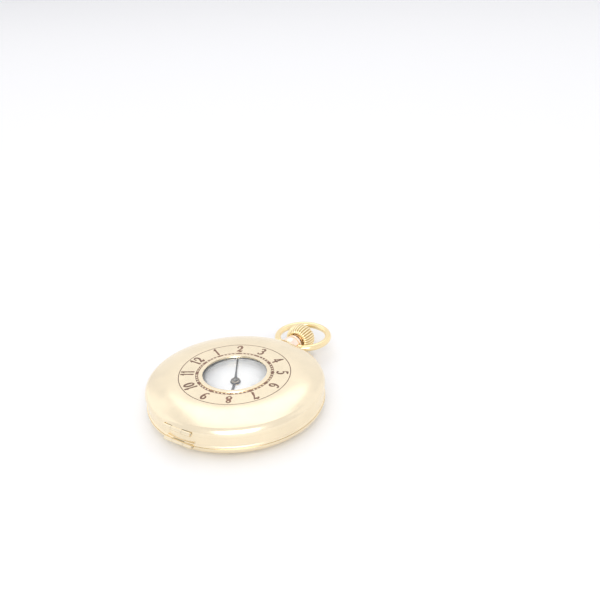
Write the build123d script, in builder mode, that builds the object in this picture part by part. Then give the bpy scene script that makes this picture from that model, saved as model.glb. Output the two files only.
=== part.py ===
from build123d import *
from math import acos, asin, atan2, cos, degrees, hypot, radians, sin, sqrt
import os

os.makedirs("parts", exist_ok=True)

# A half hunter pocket watch, in millimetres. It lies on its back cover with the dial up (+Z).
# The origin is the middle of the flat on the back cover, +X points to the crown, +Y to 12 o'clock.
# The lengths below are those of a watch whose case is 25 mm in radius. Another case keeps the
# proportions, as calibres and cases of other sizes do.
case_radius = 25.0
size_ratio = case_radius / 25.0


def mm(*lengths):
    """Lengths of the 25 mm case carried to this case: one number, or a tuple of several."""
    scaled = tuple(length * size_ratio for length in lengths)
    return scaled[0] if len(scaled) == 1 else scaled


# Case
case_thickness = mm(10.8)
cover_wall = mm(0.5)
shoulder_radius = case_radius - mm(7.0)
shoulder_turn = 24.0
rim_radius = mm(2.1)
band_radius = case_radius - mm(0.15)
band_waist_depth = mm(0.18)
band_bead = mm(0.5)
band_upper_bore = band_radius - mm(2.55)
band_ledge_bore = band_radius - mm(3.2)
band_lower_bore = band_radius - mm(1.85)
ledge_back_level = mm(3.9)
ledge_front_level = mm(6.3)
seam_gap = mm(0.03)
cuvette_lip_width = mm(0.6)
lock_lip_rise = mm(0.1)
lock_lip_height = mm(0.3)

# Window and rings of the front cover
window_seat_radius = mm(9.2)
window_opening_radius = mm(9.62)
window_seat_wall = mm(0.12)
window_glass_radius = mm(9.3)
window_glass_edge = mm(0.33)
window_glass_top = mm(11.15)
window_sight_radius = mm(8.95)
window_ring_radius = mm(10.05)
window_ring_height = mm(0.2)
window_ring_rounding = window_ring_height * 0.6
enamel_depth = mm(0.12)
inner_enamel_ring = mm(10.14, 10.92)
outer_enamel_ring = mm(15.42, 15.66)

# Hinges at 9 o'clock
hinge_reach = band_radius + mm(0.15)
knuckle_radius = mm(0.6)
hinge_pin_radius = mm(0.3)
hinge_half_width = mm(4.5)
middle_knuckle_half = mm(1.8)
knuckle_gap = mm(0.06)
knuckle_clearance = mm(0.1)

# Cuvette
cuvette_level = mm(1.5)
cuvette_wall = mm(0.3)
cuvette_flat_radius = band_lower_bore - mm(4.45)
cuvette_curve_radius = mm(14.0)
cuvette_curve_turn = 18.0
cuvette_hinge_reach = band_lower_bore + mm(0.42)
cuvette_hinge_level = mm(2.75)
cuvette_knuckle_radius = mm(0.42)
cuvette_pin_radius = mm(0.2)
cuvette_hinge_half_width = mm(2.6)
cuvette_middle_half = mm(1.1)
cuvette_lip_drop = mm(0.1)
cuvette_lug_depth = mm(0.2)

# Inner bezel and dial crystal
bezel_outer_radius = band_radius - mm(1.35)
bezel_spigot = (band_upper_bore - mm(0.4), band_upper_bore - mm(0.04))
bezel_spigot_foot = mm(6.95)
bezel_shoulder_level = mm(7.8)
bezel_top_radius = band_upper_bore
bezel_top_level = mm(8.95)
crystal_seat_radius = bezel_top_radius - mm(0.55)
crystal_seat_level = mm(8.3)
crystal_radius = crystal_seat_radius - mm(0.05)
crystal_lip_radius = crystal_seat_radius - mm(0.55)
crystal_wall = mm(0.45)
crystal_rise = mm(1.05)

# Pendant neck, crown and bow
stem_level = case_thickness / 2
neck_radius = mm(2.6)
neck_foot_radius = mm(3.3)
neck_root = band_radius - mm(0.45)
neck_foot_start = band_radius + mm(0.65)
neck_foot_end = neck_foot_start + mm(0.5)
neck_foot_hollow = mm(0.12)
neck_swell_run = mm(0.7)
neck_foot_gap = mm(0.12)
neck_end = band_radius + mm(5.25)
neck_nozzle_radius = mm(1.9)
neck_nozzle_end = neck_end + mm(1.1)
neck_bore = mm(1.1)
neck_swell_radius = mm(2.85)
crown_start = neck_end + mm(0.9)
crown_length = mm(5.7)
crown_radius = mm(4.35)
crown_flutes = 32
flute_radius = mm(0.3)
flute_sink = flute_radius / 3
crown_socket_radius = mm(2.05)
crown_socket_depth = mm(1.5)
crown_edge = mm(2.6)
crown_end_wall = mm(2.0)
bow_wire_radius = mm(0.98)
bow_mid_radius = mm(7.9)
bow_pivot_x = neck_end - mm(2.0)
bow_eye_offset = mm(3.55)
bow_eye_radius = mm(1.2)
bow_eye_half = mm(0.65)
bow_pin_radius = mm(0.5)
bow_pin_reach = mm(2.0)
bow_drop = 1.0

# Springs of the case
spring_groove = (band_upper_bore - mm(0.02), band_upper_bore + mm(1.15))
spring_groove_floor = ledge_front_level
spring_leaf = (spring_groove[0] + mm(0.44), spring_groove[1] - mm(0.21))
spring_bottom = mm(6.35)
spring_top = mm(7.2)
lock_spring_end_angle = 46.0
lock_head_half_angle = 4.0
lock_nib = (spring_groove[1] + mm(0.55), spring_groove[1] + mm(0.77))
lock_nib_top = mm(8.0)
lock_nib_half_angle = 3.0
lock_pocket_radius = spring_groove[1] + mm(0.9)
fly_spring_angles = (136.0, 172.0)
fly_head_radius = spring_groove[1] + mm(0.65)
fly_head_end_angle = 178.0
groove_margin_angle = 2.0
spring_pocket_room = mm(0.1)
spring_clearance = mm(0.06)

# Levels of the movement
plate_radius = band_ledge_bore - mm(0.15)
plate_flange_radius = band_upper_bore - mm(0.2)
plate_back = ledge_back_level
plate_front = mm(6.9)
bridge_wall = mm(1.0)
bridge_back = plate_back - bridge_wall
train_floor = mm(5.9)
barrel_floor = mm(6.05)
motion_floor = mm(6.2)
centre_wheel_floor = mm(4.55)

# Screws and cuts that several pieces share
screw_radius = mm(0.4)
screw_hole_radius = mm(0.45)
screw_head_radius = mm(1.0)
screw_sink_radius = mm(1.05)
bridge_screw_radius = mm(0.42)
bridge_screw_length = mm(2.2)
case_screw_length = mm(1.6)
case_screw_hole_depth = mm(1.7)
pallet_screw = mm(0.28, 1.5)
pallet_screw_hole = mm(0.3, 0.8)
pallet_screw_head = mm(0.5, 0.14)
slot_width_share = 0.3
slot_depth_share = 0.45
cut_margin = mm(1.0)
running_gap = mm(0.03)
shaft_gap = mm(0.05)
level_gap = mm(0.1)

# Wheels: teeth, modules and places
tooth_addendum = 0.7
tooth_dedendum = 1.1
tooth_root_share = 0.52
tooth_tip_share = 0.16
barrel_teeth, centre_pinion_teeth, barrel_module = 80, 10, mm(0.22)
centre_teeth, third_pinion_teeth, centre_module = 80, 10, mm(0.16)
third_teeth, fourth_pinion_teeth, third_module = 75, 10, mm(0.15)
fourth_teeth, escape_pinion_teeth, fourth_module = 80, 8, mm(0.12)
cannon_teeth, minute_teeth, cannon_module = 12, 36, mm(0.14)
minute_pinion_teeth, hour_teeth = 10, 40
setting_teeth = 24
ratchet_teeth, crown_wheel_teeth = 54, 36
barrel_direction = 62.0
fourth_offset = mm(10.5)
escape_direction = 198.8
setting_wheel_x = mm(7.4)
crown_wheel_x = mm(9.6)
balance_centre = mm(-11.5, -7.0)

# Going train
wheel_wall = mm(0.2)
wheel_room = mm(0.3)
pivot_back_gap = mm(0.1)
pinion_lead = mm(0.1)
pinion_height = mm(0.5)
escape_pinion_height = mm(0.4)
centre_crossings = mm(1.3, 1.0, 0.6)
third_crossings = mm(1.1, 0.9, 0.5)
fourth_crossings = mm(1.0, 0.8, 0.45)
escape_crossings = mm(0.8, 0.4, 0.4)
seconds_pivot_radius = mm(0.15)
hand_seat_drop = mm(0.2)
arbor_radius = mm(0.25)
pivot_radius = mm(0.12)
pivot_hole = mm(0.14)
jewel_radius = mm(0.5)
jewel_wall = mm(0.3)
jewel_sink = mm(0.02)
centre_wheel_level = mm(4.1)
centre_leaves_level = mm(5.5)
centre_leaves_height = mm(0.35)
wheel_arms = 5
third_wheel_level = mm(5.2)
fourth_wheel_level = mm(4.6)
escape_wheel_level = mm(5.3)
escape_teeth = 15
escape_arms = 4
escape_radius = mm(3.4)
escape_tooth_depth = mm(0.9)

# Barrel
barrel_tooth_level = mm(5.6)
barrel_base_wall = mm(0.35)
barrel_drum_radius = mm(8.1)
barrel_drum_wall = mm(0.4)
barrel_top = mm(4.5)
barrel_cover_wall = mm(0.25)
arbor_core_radius = mm(2.2)
arbor_shaft_radius = mm(0.9)
arbor_square = mm(1.1)
arbor_foot_radius = mm(0.7)
arbor_foot_height = mm(0.4)
arbor_hole_gap = mm(0.04)
core_end_gap = mm(0.06)
mainspring_outer_gap = mm(0.1)
mainspring_turns = 9
mainspring_wall = mm(0.2)

# Winding work
ratchet_level = mm(2.45)
winding_wheel_wall = mm(0.4)
crown_drum_radius = mm(3.5)
crown_drum_top = mm(3.85)
crown_face_height = mm(0.08)
crown_post_radius = mm(1.1)
crown_post_root = mm(0.5)
crown_wheel_sink = mm(0.15)
crown_face_tooth = mm(0.7, 0.28)
crown_face_inset = mm(0.45)
winding_screw_radius = mm(1.6)
winding_screw_head = mm(0.35)
winding_screw_shank = mm(1.1)
winding_post_gap = mm(0.1)
winding_pinion_x = mm(13.0)
winding_pinion_half = mm(0.8)
winding_pinion_radius = mm(1.45)
winding_pinion_teeth = 16
clutch_span = mm(10.2, 12.1)
clutch_radius = mm(1.3)
clutch_groove_radius = mm(0.95)
clutch_groove_half = mm(0.28)
stem_square = mm(0.9)
stem_square_lead = mm(0.3)
stem_bearing_radius = mm(0.72)
stem_groove_radius = mm(0.5)
stem_groove_x = mm(15.6)
stem_groove_half = mm(0.35)
stem_shaft_radius = mm(0.6)
stem_tip_x = mm(8.05)
stem_run = mm(0.06)
stem_socket_start = mm(19.4)
stem_socket_neck = mm(1.0)
stem_socket_depth = mm(2.2)
stem_sleeve_radius = mm(0.95)
stem_bearing_end_gap = mm(0.7)
pendant_square = mm(0.8)
pendant_square_gap = mm(0.2)
pendant_rest_depth = mm(0.8)
pendant_collar_gap = mm(0.9)
pendant_collar_wall = mm(0.5)
lever_pivot = mm(15.6, 4.6)
lever_end_radii = mm(0.9, 0.4)
yoke_pivot = mm(11.8, 6.0)
yoke_end_radii = mm(0.8, 0.3)
yoke_key = mm(0.2, 0.15)
keyless_pin_radius = mm(0.22)
keyless_level = mm(6.35)
keyless_wall = mm(0.4)
keyless_room_x = mm(9.7, 17.2)
keyless_room_y = mm(0.9, 7.6)
lever_slot_x = mm(14.4, 17.1)
lever_slot_y = mm(-0.45, 1.0)
lever_slot_floor = mm(5.9)
clutch_room_y = mm(-1.55, 2.15)
clutch_room_gap = mm(1.1)
pinion_room_half = mm(1.6)
pinion_end_gaps = mm(0.01, 0.1)
stem_tip_gap = mm(0.6)
click_pivot_gap = mm(2.3)
click_direction = 118.0
click_wall = mm(0.35)
click_lift_gap = mm(0.02)
click_stud_radius = mm(0.35)
click_radii = mm(0.85, 0.05)
click_beak_gap = mm(0.08)
click_beak_turn = 20.0
click_spring_reach = mm(3.1, 1.9)
click_spring_turns = (46.0, 20.0)
click_spring_foot = mm(0.7, 0.3)
click_spring_leaf = mm(0.12, 0.1)
click_spring_wall = mm(0.25)

# Escapement and balance
pallet_level = mm(5.3)
pallet_wall = mm(0.22)
pallet_arbor = mm(0.2, 0.6)
fork_notch = mm(0.3)
fork_heel = mm(0.25)
fork_pin_gap = mm(0.08)
stone_clearance = mm(0.22)
stone_length = mm(0.75)
stone_width = mm(0.32)
stone_wall = mm(0.1)
stone_spread = 30.0
roller_pin_radius = mm(0.12)
roller_pin_offset = mm(0.78)
pallet_cock_level = mm(4.9)
pallet_cock_wall = mm(0.3)
pallet_post_offset = mm(3.2)
pallet_post_radius = mm(0.65)
pallet_cock_half = mm(0.8)
balance_radius = mm(6.45)
balance_rim = mm(0.5)
balance_level = mm(4.28)
balance_rim_wall = mm(0.42)
balance_arm_width = mm(0.9)
balance_hub_radius = mm(1.0)
balance_screw_root = mm(0.1)
balance_screws = 14
balance_screw_radius = mm(0.2)
balance_screw_length = mm(0.38)
roller_radius = mm(1.1)
roller_level = mm(4.95)
roller_wall = mm(0.15)
hairspring_turns = 8
hairspring_inner = mm(0.8)
hairspring_pitch = mm(0.34)
hairspring_wall = mm(0.06)
hairspring_level = mm(3.98)
hairspring_height = mm(0.16)
hairspring_stud_radius = mm(0.25)
regulator_boss = mm(0.35)
regulator_boss_radius = mm(0.8)
regulator_ring_radius = mm(1.5)
regulator_arm = mm(5.2)
regulator_arm_radii = mm(0.7, 0.18)
regulator_gap = mm(0.28)
regulator_wall = mm(0.25)

# Dial and hands
dial_radius = plate_radius
dial_wall = mm(0.4)
dial_front = plate_front + dial_wall
seconds_dial_radius = mm(4.9)
seconds_dial_depth = mm(0.14)
dial_foot_radius = mm(0.5)
dial_foot_length = mm(0.9)
dial_foot_hole_depth = mm(1.0)
dial_pipe_gap = mm(0.12)
seconds_pipe_hole = mm(0.3)
hour_pipe = mm(0.62, 0.95)
cannon_radius = mm(0.56)
hand_wall = mm(0.12)
hand_seat_radius = mm(0.42)
hand_seat_stand = mm(0.14)
cannon_end_wall = mm(0.15)
cannon_run = mm(0.02)
stud_height = mm(0.55)
minute_stud_radius = mm(0.25)
setting_stud_radius = mm(0.3)
hour_wheel_gap = mm(0.12)
seconds_hand_level = mm(7.36)
hour_hand_level = mm(7.85)
minute_hand_level = mm(8.35)
hour_hand_length = mm(11.0)
minute_hand_length = mm(17.0)
seconds_hand_length = mm(4.3)
hour_hand_clock = 244.7
minute_hand_clock = 56.4
seconds_hand_clock = 144.0


def polar(radius, angle, centre=(0.0, 0.0)):
    """The point at this radius and angle in degrees."""
    return (centre[0] + radius * cos(radians(angle)), centre[1] + radius * sin(radians(angle)))


def gear_distance(module, teeth_a, teeth_b):
    return module * (teeth_a + teeth_b) / 2


def direction(start, end):
    return degrees(atan2(end[1] - start[1], end[0] - start[0]))


def span(start, end):
    return hypot(end[0] - start[0], end[1] - start[1])


def meeting_point(centre_a, reach_a, centre_b, reach_b, side):
    """The point at reach_a from one centre and reach_b from the other, on the given side."""
    gap = span(centre_a, centre_b)
    along = (reach_a**2 - reach_b**2 + gap**2) / (2 * gap)
    turn = degrees(acos(along / reach_a))
    return polar(reach_a, direction(centre_a, centre_b) + side * turn, centre_a)


def meshed_phase(centre_a, teeth_a, phase_a, centre_b, teeth_b):
    """The phase at which wheel b's gap meets wheel a's tooth on their line of centres."""
    line = direction(centre_a, centre_b)
    return line + 180 + 180 / teeth_b - (phase_a - line) * teeth_a / teeth_b


# Places worked out from the wheels
centre = (0.0, 0.0)
barrel_centre = polar(gear_distance(barrel_module, barrel_teeth, centre_pinion_teeth), barrel_direction)
fourth_centre = (0.0, -fourth_offset)
third_centre = meeting_point(
    centre, gear_distance(centre_module, centre_teeth, third_pinion_teeth),
    fourth_centre, gear_distance(third_module, third_teeth, fourth_pinion_teeth), 1)
escape_centre = polar(
    gear_distance(fourth_module, fourth_teeth, escape_pinion_teeth), escape_direction, fourth_centre)
escape_line = direction(escape_centre, balance_centre)
pallet_centre = polar(escape_radius / cos(radians(30)), escape_line, escape_centre)
crown_wheel_centre = (crown_wheel_x, 0.0)
winding_module = 2 * span(barrel_centre, crown_wheel_centre) / (ratchet_teeth + crown_wheel_teeth)
setting_centre = (setting_wheel_x, 0.0)
minute_centre = meeting_point(
    centre, gear_distance(cannon_module, cannon_teeth, minute_teeth),
    setting_centre, gear_distance(cannon_module, minute_teeth, setting_teeth), 1)
hour_module = 2 * span(centre, minute_centre) / (hour_teeth + minute_pinion_teeth)

shoulder_drop = shoulder_radius * (1 - cos(radians(shoulder_turn)))
rim_drop = rim_radius * cos(radians(shoulder_turn))
cover_height = shoulder_drop + rim_drop
cover_flat_radius = (
    case_radius - shoulder_radius * sin(radians(shoulder_turn))
    - rim_radius * (1 - sin(radians(shoulder_turn))))
upper_seam = case_thickness - cover_height
lower_seam = cover_height

# Places of the bridges' feet, which are also their screws
train_feet = [mm(-8.5, 4.5), mm(-3.5, -18.0), mm(11.0, -12.5)]
barrel_bridge_feet = [mm(-9.0, 14.5), mm(16.5, 9.0), mm(17.5, -5.0)]
balance_foot = mm(-15.8, 2.6)
balance_foot_heel = mm(-18.2, -0.6)
train_pivots = [centre, third_centre, fourth_centre, escape_centre]
case_screw_angles = (118.0, 300.0)
case_screw_place_radius = plate_radius - mm(0.3)
dial_foot_reach = mm(17.5)
dial_feet = [polar(dial_foot_reach, angle) for angle in (34, 150, 262)]


def save(part, name):
    part.label = name
    export_step(part, f"parts/{name}.step")


def drum(level, height, outer, place=(0.0, 0.0), mode=Mode.ADD, inner=0.0):
    """A round solid or ring that stands at this level, added to the part in hand."""
    with BuildSketch(Plane.XY.offset(level)) as outline:
        with Locations(place):
            Circle(outer)
            if inner:
                Circle(inner, mode=Mode.SUBTRACT)
    extrude(outline.sketch, amount=height, mode=mode)


def tooth_points(teeth, module, phase):
    """Corners of a wheel's toothed edge: each tooth is a tapered block with room beside it."""
    pitch_radius = teeth * module / 2
    root, tip = pitch_radius - tooth_dedendum * module, pitch_radius + tooth_addendum * module
    half_pitch = 180 / teeth
    corners = []
    for tooth in range(teeth):
        middle = phase + tooth * 2 * half_pitch
        corners += [
            polar(root, middle - tooth_root_share * half_pitch),
            polar(tip, middle - tooth_tip_share * half_pitch),
            polar(tip, middle + tooth_tip_share * half_pitch),
            polar(root, middle + tooth_root_share * half_pitch)]
    return corners


def toothed(level, height, teeth, module, phase, place=(0.0, 0.0)):
    """A toothed wheel or pinion, added to the part in hand."""
    corners = [(place[0] + x, place[1] + y) for x, y in tooth_points(teeth, module, phase)]
    with BuildSketch(Plane.XY.offset(level)) as outline:
        with BuildLine():
            Polyline(*corners, close=True)
        make_face()
    extrude(outline.sketch, amount=height)


def cut_crossings(level, height, place, arms, hub, rim, arm_width):
    """Openings between the arms of the wheel in hand."""
    with BuildSketch(Plane.XY.offset(level)) as openings:
        with Locations(place):
            Circle(rim)
            Circle(hub, mode=Mode.SUBTRACT)
            with PolarLocations(0, arms):
                Rectangle(rim * 2, arm_width, align=(Align.MIN, Align.CENTER), mode=Mode.SUBTRACT)
    extrude(openings.sketch, amount=height, mode=Mode.SUBTRACT)


def slotted_screws(places, head_level, head_radius, head_height, shank_radius, shank_length):
    """Cheese-head screws whose slot looks to the back, as separate solids."""
    slot_width, slot_depth = head_radius * slot_width_share, head_height * slot_depth_share
    with BuildPart() as screws:
        for place in places:
            drum(head_level, head_height, head_radius, place)
            drum(head_level + head_height, shank_length, shank_radius, place)
        with BuildSketch(Plane.XY.offset(head_level)) as slots:
            with Locations(*places):
                Rectangle(head_radius * 3, slot_width)
        extrude(slots.sketch, amount=slot_depth, mode=Mode.SUBTRACT)
    return screws.part


def cover_profile(side, opening):
    """Half section of a cover from its flat to its rim; side is 1 for the front, -1 for the back."""
    middle = case_thickness / 2
    face = middle + side * case_thickness / 2
    inner_face = face - side * cover_wall
    with BuildSketch(Plane.XZ) as profile:
        with BuildLine():
            flat = Line((opening, face), (cover_flat_radius, face))
            shoulder = JernArc(flat @ 1, (1, 0), shoulder_radius, -side * shoulder_turn)
            rim = JernArc(shoulder @ 1, shoulder % 1, rim_radius, -side * (90 - shoulder_turn))
            edge = Line(rim @ 1, rim @ 1 - (cover_wall, 0))
            inner_rim = JernArc(
                edge @ 1, (0, side), rim_radius - cover_wall, side * (90 - shoulder_turn))
            inner_shoulder = JernArc(
                inner_rim @ 1, inner_rim % 1, shoulder_radius - cover_wall, side * shoulder_turn)
            Line(inner_shoulder @ 1, (opening, inner_face))
            Line((opening, inner_face), (opening, face))
        make_face()
    return profile.sketch


def rod_y(x, z, radius, start, end, mode=Mode.ADD):
    """A round rod along Y, added to the part in hand."""
    with BuildSketch(Plane.XZ.offset(-end)) as section:
        with Locations((x, z)):
            Circle(radius)
    extrude(section.sketch, amount=end - start, mode=mode)


def rod_x(radius, start, end, mode=Mode.ADD, level=stem_level):
    """A round rod along the stem's line, added to the part in hand."""
    with BuildSketch(Plane.YZ.offset(start)) as section:
        with Locations((0, level)):
            Circle(radius)
    extrude(section.sketch, amount=end - start, mode=mode)


def square_x(side, start, end, mode=Mode.ADD):
    with BuildSketch(Plane.YZ.offset(start)) as section:
        with Locations((0, stem_level)):
            Rectangle(side, side)
    extrude(section.sketch, amount=end - start, mode=mode)


def sector(level, height, inner, outer, start, end, mode=Mode.ADD):
    """A curved block between two radii and two angles, added to the part in hand."""
    with BuildSketch(Plane.XY.offset(level)) as outline:
        with BuildLine():
            far = CenterArc((0, 0), outer, start, end - start)
            near = CenterArc((0, 0), inner, start, end - start)
            Line(far @ 0, near @ 0)
            Line(far @ 1, near @ 1)
        make_face()
    extrude(outline.sketch, amount=height, mode=mode)


def slab(level, height, x_span, y_span, mode=Mode.SUBTRACT):
    """A rectangular block between these limits, by default cut from the part in hand."""
    with BuildSketch(Plane.XY.offset(level)) as outline:
        with Locations(((x_span[0] + x_span[1]) / 2, (y_span[0] + y_span[1]) / 2)):
            Rectangle(x_span[1] - x_span[0], y_span[1] - y_span[0])
    extrude(outline.sketch, amount=height, mode=mode)


def hull_plate(level, height, discs):
    """A plate whose outline is stretched round the given (place, radius) discs."""
    with BuildSketch(Plane.XY.offset(level)) as outline:
        for place, radius in discs:
            with Locations(place):
                Circle(radius)
        make_hull()
    extrude(outline.sketch, amount=height)


def spiral_band(turns, inner, pitch, wall, level, height, place, end_angle):
    """A flat spiral strip, made of half circles whose centres alternate."""
    step = pitch / 2
    plane = Plane(origin=(*place, level), x_dir=(*polar(1, end_angle), 0), z_dir=(0, 0, 1))
    with BuildSketch(plane) as outline:
        with BuildLine():
            Line((inner - wall / 2, 0), (inner + wall / 2, 0))
            for half in range(turns * 2):
                start = 180 * (half % 2)
                middle = (step * (half % 2), 0)
                outer_arc = CenterArc(middle, inner + half * step + wall / 2, start, 180)
                inner_arc = CenterArc(middle, inner + half * step - wall / 2, start, 180)
            Line(inner_arc @ 1, outer_arc @ 1)
        make_face()
    extrude(outline.sketch, amount=height)


# Case

def cut_hinge_room(level):
    """Room in a cover's rim for the case band's two knuckles."""
    room = knuckle_radius + knuckle_clearance
    rod_y(-hinge_reach, level, room, middle_knuckle_half - knuckle_gap / 2,
          hinge_half_width + knuckle_clearance, Mode.SUBTRACT)
    rod_y(-hinge_reach, level, room, -hinge_half_width - knuckle_clearance,
          knuckle_gap / 2 - middle_knuckle_half, Mode.SUBTRACT)


def add_middle_knuckle(level):
    half = middle_knuckle_half - knuckle_gap
    rod_y(-hinge_reach, level, knuckle_radius, -half, half)
    rod_y(-hinge_reach, level, hinge_pin_radius, -hinge_half_width, hinge_half_width, Mode.SUBTRACT)


lid_inner_level = case_thickness - cover_wall
window_seat_level = lid_inner_level + window_seat_wall
lock_lip_radius = lock_nib[1] + spring_clearance

with BuildPart() as front_lid:
    revolve(cover_profile(1, window_seat_radius), axis=Axis.Z)
    drum(window_seat_level, cover_wall, window_opening_radius, mode=Mode.SUBTRACT)
    for inner, outer in (inner_enamel_ring, outer_enamel_ring):
        drum(case_thickness - enamel_depth, enamel_depth, outer, mode=Mode.SUBTRACT, inner=inner)
    cut_hinge_room(upper_seam)
    add_middle_knuckle(upper_seam)
    sector(upper_seam + lock_lip_rise, lock_lip_height, lock_lip_radius, case_radius - cover_wall / 2,
           -lock_nib_half_angle, lock_nib_half_angle)
save(front_lid.part, "front_lid")

with BuildPart() as lid_enamel:
    for inner, outer in (inner_enamel_ring, outer_enamel_ring):
        drum(case_thickness - enamel_depth, enamel_depth, outer, inner=inner)
save(lid_enamel.part, "lid_enamel")

with BuildPart() as lid_window_glass:
    dome = window_glass_top - case_thickness
    dome_radius = (window_sight_radius**2 + dome**2) / (2 * dome)
    with BuildSketch(Plane.XZ):
        with BuildLine():
            crown_arc = JernArc(
                (0, window_glass_top), (1, 0), dome_radius,
                -degrees(asin(window_sight_radius / dome_radius)))
            Polyline(
                crown_arc @ 1,
                (window_glass_radius, window_seat_level + window_glass_edge),
                (window_glass_radius, window_seat_level),
                (0, window_seat_level),
                (0, window_glass_top))
        make_face()
    revolve(axis=Axis.Z)
save(lid_window_glass.part, "lid_window_glass")

with BuildPart() as lid_glass_ring:
    drum(case_thickness, window_ring_height, window_ring_radius, inner=window_sight_radius)
    drum(window_seat_level, case_thickness - window_seat_level, window_opening_radius,
         inner=window_glass_radius)
    top = lid_glass_ring.faces().sort_by(Axis.Z)[-1]
    fillet(top.outer_wire().edges(), window_ring_rounding)
save(lid_glass_ring.part, "lid_glass_ring")

with BuildPart() as back_cover:
    revolve(cover_profile(-1, 0), axis=Axis.Z)
    cut_hinge_room(lower_seam)
    add_middle_knuckle(lower_seam)
save(back_cover.part, "back_cover")

for name, level in (("lid_hinge_pin", upper_seam), ("back_hinge_pin", lower_seam)):
    with BuildPart() as pin:
        rod_y(-hinge_reach, level, hinge_pin_radius, -hinge_half_width, hinge_half_width)
    save(pin.part, name)

cuvette_rim_radius = cuvette_flat_radius + cuvette_curve_radius * sin(radians(cuvette_curve_turn))
cuvette_rim_level = cuvette_level + cuvette_curve_radius * (1 - cos(radians(cuvette_curve_turn)))
cuvette_middle = cuvette_middle_half - knuckle_gap

with BuildPart() as cuvette:
    with BuildSketch(Plane.XZ):
        with BuildLine():
            flat = Line((0, cuvette_level), (cuvette_flat_radius, cuvette_level))
            curve = JernArc(flat @ 1, (1, 0), cuvette_curve_radius, cuvette_curve_turn)
            edge = Line(curve @ 1, curve @ 1 + (0, cuvette_wall))
            back_curve = JernArc(edge @ 1, curve % 1 * -1, cuvette_curve_radius, -cuvette_curve_turn)
            Polyline(back_curve @ 1, (0, cuvette_level + cuvette_wall), (0, cuvette_level))
        make_face()
    revolve(axis=Axis.Z)
    slab(cuvette_rim_level, cuvette_hinge_level - cuvette_rim_level,
         (-cuvette_hinge_reach, -cuvette_rim_radius + cuvette_wall),
         (-cuvette_middle, cuvette_middle), Mode.ADD)
    rod_y(-cuvette_hinge_reach, cuvette_hinge_level, cuvette_knuckle_radius,
          -cuvette_middle, cuvette_middle)
    rod_y(-cuvette_hinge_reach, cuvette_hinge_level, cuvette_pin_radius,
          -cuvette_middle, cuvette_middle, Mode.SUBTRACT)
save(cuvette.part, "cuvette")

with BuildPart() as cuvette_hinge_pin:
    rod_y(-cuvette_hinge_reach, cuvette_hinge_level, cuvette_pin_radius,
          -cuvette_hinge_half_width, cuvette_hinge_half_width)
save(cuvette_hinge_pin.part, "cuvette_hinge_pin")

band_top = upper_seam - seam_gap
band_bottom = lower_seam + seam_gap
lip_inner, lip_outer = band_lower_bore, band_lower_bore + cuvette_lip_width
lip_bottom = cuvette_hinge_level - cuvette_lip_drop
waist_radius = band_radius - band_waist_depth
screw_head_level = plate_back - winding_screw_head

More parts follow.
